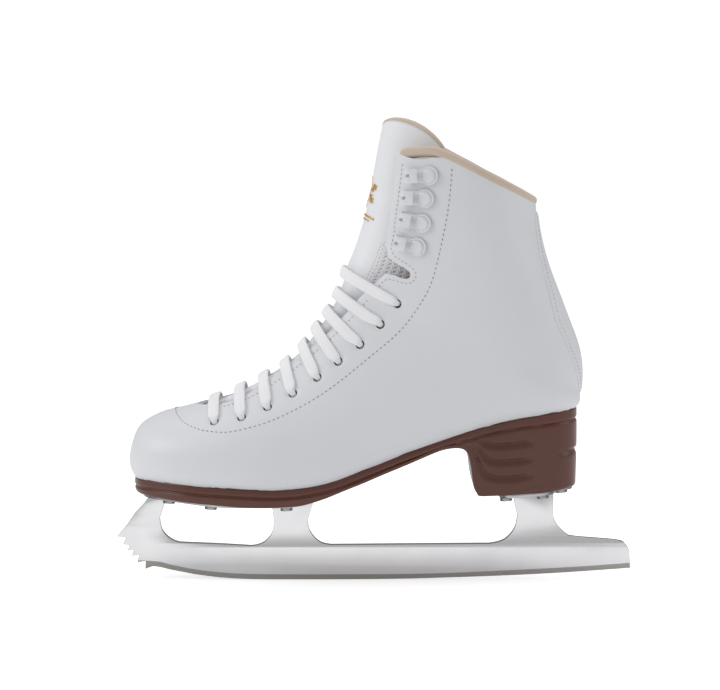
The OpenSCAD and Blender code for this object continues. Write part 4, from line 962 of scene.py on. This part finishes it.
def make_emblem():
    """Small gold snowflake over a thin bar, on the front of the tongue."""
    bm = bmesh.new()
    v0, lift = 13.5, -0.35

    def spot(x, y):
        v = v0 + y / 17.5
        p = on_tongue(v, x / 20.4 * 57.3, lift)
        return Vector(p * MM)

    def bar(x0, y0, x1, y1, w):
        steps = max(int(math.hypot(x1 - x0, y1 - y0) / 1.2), 2)
        dx, dy = x1 - x0, y1 - y0
        length = math.hypot(dx, dy)
        nx, ny = -dy / length * w / 2, dx / length * w / 2
        part, s, t = grid(steps, 2)
        for vert, u, k in zip(part.verts, s, t):
            vert.co = spot(x0 + dx * k + nx * (2 * u - 1), y0 + dy * k + ny * (2 * u - 1))
        mesh = bpy.data.meshes.new("bar")
        part.to_mesh(mesh)
        part.free()
        bm.from_mesh(mesh)
        bpy.data.meshes.remove(mesh)

    for k in range(6):
        c, s = math.cos(math.radians(60 * k + 30)), math.sin(math.radians(60 * k + 30))
        bar(0, 0, 9 * c, 9 * s, 0.9)
        for r, length in ((4, 2.4), (6.4, 1.9)):
            for turn in (-55, 55):
                q = math.radians(60 * k + 30 + turn)
                bar(r * c, r * s, r * c + length * math.cos(q), r * s + length * math.sin(q), 0.7)
    bar(-11, -12.5, 11, -12.5, 0.9)
    bar(-8, -14.6, 8, -14.6, 0.6)
    face_away(bm, Vector((0.05, 0, 0.19)))
    obj = piece("tongue_emblem", bm, GOLD_PRINT, None)
    thicken(obj, 0.25, 1.0)
    apply_modifiers(obj)
    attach(obj, "tongue")


def face_away(bm, centre):
    bm.normal_update()
    turned = [f for f in bm.faces if f.normal.dot(f.calc_center_median() - centre) < 0]
    bmesh.ops.reverse_faces(bm, faces=turned)


# ---- sole ----
HEEL_GROOVES = [
    [(58, 39.5), (62, 36.6), (67.9, 34.4), (76, 34.6), (93.6, 36.5)],
    [(54.6, 37), (60, 31.6), (64, 27), (69, 24.8), (77, 25), (94.2, 26.6)],
    [(51.6, 36.8), (57.6, 30), (60.6, 23), (64, 17.6), (70, 15.2), (78, 15.4), (95.4, 17.4)],
    [(104, 29.2), (112, 29.9), (130, 31)],
]


def groove_depth(x, z):
    """How far the moulded grooves cut into the sole's wall at a side-view place."""
    p = np.stack([x, z], -1)
    total = np.zeros(len(p))
    for line in HEEL_GROOVES:
        l = evenly(smooth(line, 4), 0.7)
        d = np.sqrt(((p[:, None, :] - l[None, :, :]) ** 2).sum(-1))
        k = d.argmin(1)
        near = d.min(1)
        run = k / (len(l) - 1)
        fade = ease(run / 0.22) * (1 if line is HEEL_GROOVES[-1] else ease((1 - run) / 0.25))
        above = z - l[k, 1]
        shape = np.where(above > 0, np.exp(-(near / 0.65) ** 2), np.exp(-(near / 2.2) ** 2))
        total = np.maximum(total, shape * fade * 1.35)
    welt = z - (lip_z(x) - 4.9 - 1.6 * ease((x - 60) / 50))
    total = np.maximum(total, 0.95 * np.exp(-(welt / 0.75) ** 2))
    return total


def make_sole():
    """Forefoot, waist and heel in one moulding, with a rounded foot and a rim round the boot."""
    xs = SOLE_X
    extra = np.linspace(50.5, 112, 76)
    xs = np.unique(np.round(np.concatenate([xs, extra]), 3))
    lat = np.interp(xs, SOLE_X, SOLE_LATERAL)
    med = np.interp(xs, SOLE_X, SOLE_MEDIAL)
    x = np.concatenate([xs, xs[-2:0:-1]])
    y = np.concatenate([lat, med[-2:0:-1]])
    tangent = np.stack([np.roll(x, -1) - np.roll(x, 1), np.roll(y, -1) - np.roll(y, 1)], -1)
    tangent /= np.linalg.norm(tangent, axis=1)[:, None]
    inward = np.stack([-tangent[:, 1], tangent[:, 0]], -1)
    middle = np.concatenate([(lat + med) / 2, ((lat + med) / 2)[-2:0:-1]])
    lip, under = lip_z(x), under_z(x)
    tall = lip - under
    taper = 2.2 * ease((x - 44) / 14) * (1 - 0.85 * ease((x - 92) / 16))
    rings = []

    def ring_at(inset, z):
        px = x + inward[:, 0] * inset
        py = y + inward[:, 1] * inset
        return np.stack([px, py, z + GROUND], -1)

    def towards_middle(share, z):
        inner = ring_at(2.0 + taper * 0.8, z)
        inner[:, 1] = middle + (inner[:, 1] - middle) * share
        return inner

    for share in (0.0, 0.35, 0.7, 0.9):
        rings.append(towards_middle(share, under))
    for q in np.linspace(0, 1, 6):
        turn = q * math.pi / 2
        rings.append(ring_at(2.0 * (1 - math.sin(turn)) + taper * 0.8, under + 2.0 * (1 - math.cos(turn))))
    wall = 84
    for q in np.linspace(0.02, 1, wall):
        z = under + 2.0 + (tall - 2.0 - 0.8) * q
        lean = taper * 0.8 * (1 - ease(q * 1.15)) - 0.25 * math.sin(math.pi * q)
        rings.append(ring_at(lean + groove_depth(x, z), z))
    for q in (0.35, 0.7, 1.0):
        rings.append(ring_at(0.8 * q ** 2, lip - 0.8 + 0.8 * math.sin(q * math.pi / 2)))
    rings.append(ring_at(2.1, lip))
    rings.append(ring_at(2.2, lip - 3.4))
    floor = ring_at(2.2, lip - 3.4)
    for share in (0.6, 0.0):
        f = floor.copy()
        f[:, 1] = middle + (f[:, 1] - middle) * share
        rings.append(f)
    bm = loft(rings, caps=False)
    weld(bm, 2e-5)
    holes = [e for e in bm.edges if e.is_boundary]
    if holes:
        bmesh.ops.holes_fill(bm, edges=holes, sides=0)
    outwards(bm)
    obj = piece("sole_and_heel", bm, SOLE_RESIN, "boot", ["sole_unit"])
    smooth_by_angle(obj, 55)


# ---- blade ----
PICK = [(-132.1, 48.2), (-133.0, 44.5), (-138.5, 38.5), (-142.6, 32.3), (-148.4, 25.2), (-143.3, 24.5),
        (-145.2, 20.6),
        (-141.4, 20.1), (-142.4, 16.9), (-138.9, 17.2), (-140, 13.8), (-135.9, 14.5), (-136.8, 10.2),
        (-132.1, 10.7), (-132.3, 6.2)]
ROCKER = [(-127.9, 7.8), (-123.5, 7.2), (-117.8, 5.8), (-110, 4.3), (-102.6, 2.9), (-90, 1.3), (-77.3, 0.45),
          (-64.9, 0.06), (-45, 0), (-25, 0.02), (0, 0.2), (30, 0.75), (72.9, 2.2), (110, 4.1), (148.4, 6.8)]
TAIL = [(147.8, 17.2), (145.9, 20.4), (140.9, 23), (116.5, 25.2), (111.4, 26.8), (106.2, 31.9), (103.7, 37)]
WINDOW_FRONT = [(-123.7, 36.1), (-122.4, 29.4), (-118.6, 24.8), (-113.6, 22.2), (-107, 21.6), (-90, 20.9),
                (-76, 20.1), (-69.7, 19.9), (-63.9, 21.8), (-59.2, 26.9), (-57.7, 33.6)]
WINDOW_REAR = [(-38.2, 34.2), (-36.8, 28.4), (-32.2, 22.8), (-26.5, 20.7), (-18, 20.5), (20, 20.8),
               (60, 21.1), (67.8, 21.3), (75.5, 23.6), (81.2, 30), (82.9, 37.7)]


def make_blade():
    """The runner, drawn side on and given its thickness with softened edges."""
    def plate_bottom(x):
        return under_z(x) + GROUND - 2.0

    outline = np.vstack([
        [(x, plate_bottom(x)) for x in (-127.0, -129.5)], PICK[1:], smooth(ROCKER, 4), smooth(TAIL, 5),
        [(103.7, plate_bottom(103.7)), (92.0, plate_bottom(92.0)), (80.2, plate_bottom(80.2)), (81.6, 43.2)],
        smooth(WINDOW_REAR, 5)[::-1],
        [(-36.6, 40), (-34.0, plate_bottom(-34.0))],
        [(x, plate_bottom(x)) for x in (-40.0, -50.0, -59.6)],
    ])
    outline = np.vstack([outline, [(-58.4, 39.9)], smooth(WINDOW_FRONT, 5)[::-1],
                         [(-121.6, 42.0), (-119.6, plate_bottom(-119.6))]])
    curve = bpy.data.curves.new("runner_outline", "CURVE")
    curve.dimensions, curve.fill_mode = "2D", "BOTH"
    rim = 0.35 * MM
    curve.extrude, curve.bevel_depth, curve.bevel_resolution, curve.offset = 1.95 * MM - rim, rim, 2, -rim
    spline = curve.splines.new("POLY")
    spline.points.add(len(outline) - 1)
    for point, (x, z) in zip(spline.points, outline):
        point.co = (x * MM, z * MM, 0, 1)
    spline.use_cyclic_u = True
    drawn = bpy.data.objects.new("runner_outline", curve)
    scene.collection.objects.link(drawn)
    graph = bpy.context.evaluated_depsgraph_get()
    mesh = bpy.data.meshes.new_from_object(drawn.evaluated_get(graph))
    bpy.data.objects.remove(drawn)
    bm = bmesh.new()
    bm.from_mesh(mesh)
    bpy.data.meshes.remove(mesh)
    bmesh.ops.rotate(bm, verts=bm.verts, cent=(0, 0, 0), matrix=Matrix.Rotation(math.radians(90), 3, "X"))
    bmesh.ops.remove_doubles(bm, verts=bm.verts, dist=2e-6)
    outwards(bm)
    obj = piece("runner", bm, BLADE_STEEL, "boot", ["blade_runner"])
    smooth_by_angle(obj, 25)


# ---- lace ----
LACE_W, LACE_T, EYELET_D = 6.6, 1.9, 5.2
BAR_LIFT = LACE_T / 2 + 0.45
RUN_DEPTH = LINING_IN + 0.75 + LACE_T / 2 + 0.7
# The holes in the order the lace passes them, with the side of the boot.
VISITS = [(7, -1), (7, 1), (5, 1), (5, -1), (3, -1), (3, 1), (1, 1), (1, -1), (0, -1), (0, 1), (2, 1),
          (2, -1),
          (4, -1), (4, 1), (6, 1), (6, -1), (8, -1), (8, 1)]


def unit(a):
    return a / max(np.linalg.norm(a), 1e-9)


def hole_stations(e, w):
    p, n = on_side([EYELETS[e]], w)[0], outward([EYELETS[e]], w)[0]
    lo, hi = on_side([EYELETS[max(e - 1, 0)]], w)[0], on_side([EYELETS[min(e + 1, 8)]], w)[0]
    f = unit(hi - lo)
    b = np.cross(n, f)
    return [
        (p + n * (BAR_LIFT - 0.1) + b * -w * 2.6, f, LACE_W * 0.8, LACE_T * 1.1),
        (p + n * 0.4 + b * -w * 0.6, f, EYELET_D * 0.70, EYELET_D * 0.46),
        (p - n * 2.2, f, EYELET_D * 0.64, EYELET_D * 0.54),
        (p - n * (LINING_IN + 1), unit(f + b), EYELET_D * 0.5, EYELET_D * 0.46),
    ]


def bar_stations(e, from_side):
    v, a, _, _ = where([EYELETS[e]])
    out = []
    for i in range(15):
        share = (1 - 2 * i / 14) * 0.86 * (1 if from_side < 0 else -1)
        puff = 1 + 0.06 * math.sin(math.pi * i / 14)
        way = on_boot(v + 0.1, share * a, -BAR_LIFT)[0] - on_boot(v - 0.1, share * a, -BAR_LIFT)[0]
        lift = BAR_LIFT + 0.25 * math.sin(math.pi * i / 14)
        out.append((on_boot(v, share * a, -lift)[0], unit(way), LACE_W * puff, LACE_T * puff))
    return out


def run_stations(a, b):
    w, far = a[1], abs(a[0] - b[0]) > 1
    pa, pb = np.array(EYELETS[a[0]], float), np.array(EYELETS[b[0]], float)
    chord = unit(pb - pa) * (1 if b[0] > a[0] else -1)
    down = np.array([chord[1], -chord[0]])
    shift = (6.2 if a[0] % 2 == 0 else -6.2) if far else 0.0
    middle = np.array(EYELETS[(a[0] + b[0]) // 2], float)
    along = unit(on_side([pb], w)[0] - on_side([pa], w)[0])
    out = []
    for t in (0.05, 0.2, 0.35, 0.5, 0.65, 0.8, 0.95) if far else (0.1, 0.35, 0.65, 0.9):
        blend = math.sin(math.pi * t)
        spot = pa + (pb - pa) * t
        if far:
            spot = spot + (middle - spot) * blend * 0.8
        spot = spot + down * shift * blend ** 0.7
        wide = min(blend * 1.4, 1)
        n = outward([spot], w)[0]
        out.append((on_side([spot], w)[0] - n * RUN_DEPTH, unit(np.cross(n, along)),
                    EYELET_D * 0.48 + (LACE_W * 0.9 - EYELET_D * 0.48) * wide,
                    EYELET_D * 0.44 + (LACE_T - EYELET_D * 0.44) * wide))
    return out


def tail_stations(w, shift):
    line = smooth(np.array([(20, 110), (31, 106), (41, 102), (49, 95), (53, 86), (54, 77)]) + shift, 2)
    out = []
    for p in line:
        n = outward([p], w)[0]
        into = min(max((p[0] - 14) / 16, 0), 1)
        depth = RUN_DEPTH + (SHAFT_PAD + 1 + 1 + LACE_T / 2 - RUN_DEPTH) * into
        way = unit(np.cross(n, np.cross((0, 0, 1), n)))
        out.append((on_side([p], w)[0] - n * depth, way, LACE_W * 0.9, LACE_T))
    return out


def make_lace():
    """Flat woven lace, straight across outside and stepping from eyelet to eyelet inside."""
    route = tail_stations(-1, (-8, -10))[::-1]
    for k in range(len(VISITS) - 1):
        a, b = VISITS[k], VISITS[k + 1]
        if k % 2 == 0:
            route += hole_stations(*a)[::-1] + bar_stations(*a) + hole_stations(*b)
        else:
            route += run_stations(a, b)
    route += tail_stations(1, (0, 0))
    centre = np.array([r[0] for r in route])
    way = np.array([r[1] for r in route])
    size = np.array([(r[2], r[3]) for r in route])
    for k in range(len(route)):
        t = unit(centre[min(k + 1, len(route) - 1)] - centre[max(k - 1, 0)])
        w = unit(way[k] - t * (way[k] @ t))
        way[k] = -w if k and w @ way[k - 1] < 0 else w
    centre, way, size = smooth(centre, 3), smooth(way, 3), smooth(size, 3)
    m = 14
    rings, run = [], 0.0
    lengths = []
    for k in range(len(centre)):
        t = unit(centre[min(k + 1, len(centre) - 1)] - centre[max(k - 1, 0)])
        w = unit(way[k] - t * (way[k] @ t))
        u = np.cross(t, w)
        ring_points = []
        for j in range(m):
            c, s = math.cos(2 * math.pi * j / m), math.sin(2 * math.pi * j / m)
            ring_points.append(centre[k] + w * size[k, 0] / 2 * np.sign(c) * abs(c) ** 0.75
                               + u * size[k, 1] / 2 * np.sign(s) * abs(s) ** 0.8)
        rings.append(ring_points)
        if k:
            run += np.linalg.norm(centre[k] - centre[k - 1])
        lengths.append(run)
    bm, s, t = grid(len(rings) - 1, m)
    i = np.rint(s * m).astype(int) % m
    j = np.rint(t * (len(rings) - 1)).astype(int)
    move(bm, np.asarray(rings)[j, i])
    uv = bm.loops.layers.uv["UVMap"]
    for f in bm.faces:
        for l in f.loops:
            row = int(round(l[uv].uv.y * (len(rings) - 1)))
            l[uv].uv = (l[uv].uv.x, lengths[row] / 1.1)
    weld(bm, 1e-6)
    bmesh.ops.holes_fill(bm, edges=[e for e in bm.edges if e.is_boundary], sides=0)
    outwards(bm)
    piece("lace_cord", bm, LACE_WEAVE, "boot", ["lace"])


# ---- footbed ----


def make_footbed():
    """Moulded footbed, cupped at the heel, with a cloth top."""
    def edge(x, h, which):
        z = lip_z(x) - 3.5 + h
        return on_side(np.stack([x, z], 1), which, LINING_IN)[:, 1] - which * 1.4

    x = -129.5 + (105 + 129.5) * (1 - np.cos(np.linspace(0, math.pi, 60))) / 2
    rings = []
    low, high = 8.6, 12.4
    for xx in x:
        xv = np.array([xx])
        floor = lip_z(xx) - 3.5 + GROUND
        lat0, med0 = edge(xv, low - 0.9, -1)[0], edge(xv, low - 0.9, 1)[0]
        lat1, med1 = edge(xv, high, -1)[0], edge(xv, high, 1)[0]
        row = []
        for q in np.linspace(0, 1, 9):
            row.append((xx, med0 + (lat0 - med0) * q, floor + low))
        for q in np.linspace(0, 1, 13):
            dish = 0.9 * (1 - abs(2 * q - 1) ** 3)
            row.append((xx, lat1 + (med1 - lat1) * q, floor + high - dish))
        rings.append(row)
    bm = loft(rings)
    obj = piece("footbed_cushion", bm, LINING_CLOTH, "boot", ["footbed"])


# ---- putting it together ----
make_upper()
make_lining()
make_collar()
backstay_rows = make_backstay()
make_tongue()
make_binding()
make_emblem()
make_sole()
make_blade()
make_lace()
make_footbed()
outer_rows = seam_rows(SEAM_OUTER, 0.05)
make_stitches("outer_facing_stitches", outer_rows, step=2.8, length=1.6, thick=0.27, mat=DARK_THREAD)
inner_rows = seam_rows(SEAM_INNER) + seam_rows(SEAM_NOTCH)
make_stitches("inner_facing_stitches", inner_rows, step=2.5, length=1.4, thick=0.26)
make_stitches("backstay_stitches", backstay_rows, step=2.5, length=1.5, thick=0.22, mat=PALE_THREAD)
vv = np.linspace(9.6, 12.6, 90)
edge_rows = []
for side in (-1, 1):
    aa = side * (leather_edge(vv) - 2.6)
    p = on_tongue(vv, aa, -0.1)
    inner = on_tongue(vv, aa, 1.5)
    n = (p - inner) / np.linalg.norm(p - inner, axis=1)[:, None]
    shown = (vv > V_FOLD) & (vv < 12.4)
    edge_rows.append((p[shown], n[shown]))
make_stitches("tongue_stitches", edge_rows, step=1.9, length=1.3, thick=0.2, body="tongue")
refined("lateral_hooks", "hooks_lateral", WHITE_ENAMEL, 0.22, 2, 35)
refined("medial_hooks", "hooks_medial", WHITE_ENAMEL, 0.22, 2, 35)
refined("lateral_hook_rivets", "hook_rivets_lateral", WHITE_ENAMEL, 0.2, 2, 30)
refined("medial_hook_rivets", "hook_rivets_medial", WHITE_ENAMEL, 0.2, 2, 30)
refined("sole_plate", "front_plate", PLATE_STEEL, 0.35, 2, 40)
refined("heel_plate_steel", "heel_plate", PLATE_STEEL, 0.35, 2, 40)
refined("sole_screws", "front_screws", SCREW_STEEL, 0.2, 2, 40)
refined("heel_screw_set", "heel_screws", SCREW_STEEL, 0.2, 2, 40)

carried = {
    "eyestay_facing": HIDDEN["facing"], "heel_counter": HIDDEN["stiffener"], "toe_puff": HIDDEN["stiffener"],
    "bottom_filler": HIDDEN["cork"], "insole_board": HIDDEN["leatherboard"], "eyelets_lateral": EYELET_METAL,
    "eyelets_medial": EYELET_METAL, "lace_tips": CLEAR_TIP,
}
for name, finish in carried.items():
    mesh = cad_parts[name].data
    mesh.materials.clear()
    mesh.materials.append(finish)

# ---- stage ----
# Light given off by the floor and the room, and what is added to it where they are seen directly.
FLOOR_GLOW, FLOOR_SEEN = 0.14, 0.5
ROOM_GLOW, ROOM_SEEN = 0.42, 0.8


def make_stage():
    bm = bmesh.new()
    bmesh.ops.create_grid(bm, x_segments=1, y_segments=1, size=6.0)
    mesh = bpy.data.meshes.new("floor")
    bm.to_mesh(mesh)
    bm.free()
    m, tree, shader = material("pale_floor")
    place = node(tree, "ShaderNodeTexCoord").outputs["Object"]
    n = node(tree, "ShaderNodeTexNoise", {"Vector": place}, in_Scale=3.0)
    paper = mix_colour(tree, n.outputs["Fac"], (0.90, 0.90, 0.90, 1), (0.92, 0.92, 0.92, 1))
    tree.links.new(paper, shader.inputs["Base Color"])
    shader.inputs["Roughness"].default_value = 0.9
    shader.inputs["Specular IOR Level"].default_value = 0.1
    shader.inputs["Emission Color"].default_value = (1, 1, 1, 1)
    seen = node(tree, "ShaderNodeLightPath").outputs["Is Camera Ray"]
    glow = math_node(tree, "ADD", math_node(tree, "MULTIPLY", seen, FLOOR_SEEN), FLOOR_GLOW)
    tree.links.new(glow, shader.inputs["Emission Strength"])
    mesh.materials.append(m)
    floor = bpy.data.objects.new("floor", mesh)
    scene.collection.objects.link(floor)
    world = bpy.data.worlds.new("studio")
    world.use_nodes = True
    tree = world.node_tree
    backdrop = tree.nodes["Background"]
    backdrop.inputs[0].default_value = (1, 1, 1, 1)
    seen = node(tree, "ShaderNodeLightPath").outputs["Is Camera Ray"]
    glow = math_node(tree, "ADD", math_node(tree, "MULTIPLY", seen, ROOM_SEEN), ROOM_GLOW)
    tree.links.new(glow, backdrop.inputs[1])
    scene.world = world


def add_light(name, where_at, target, size, power):
    data = bpy.data.lights.new(name, "AREA")
    data.shape, data.size, data.energy = "SQUARE", size, power
    light = bpy.data.objects.new(name, data)
    scene.collection.objects.link(light)
    light.location = where_at
    light.rotation_euler = (Vector(target) - Vector(where_at)).to_track_quat("-Z", "Y").to_euler()


make_stage()
add_light("key", (-1.9, -0.6, 1.25), (0, 0, 0.12), 1.1, 14)
add_light("fill", (1.6, -0.3, 1.0), (0, 0, 0.12), 1.2, 4)
add_light("top", (0.0, 0.3, 1.8), (0, 0, 0.12), 1.4, 9)
scene.view_settings.view_transform = "Standard"
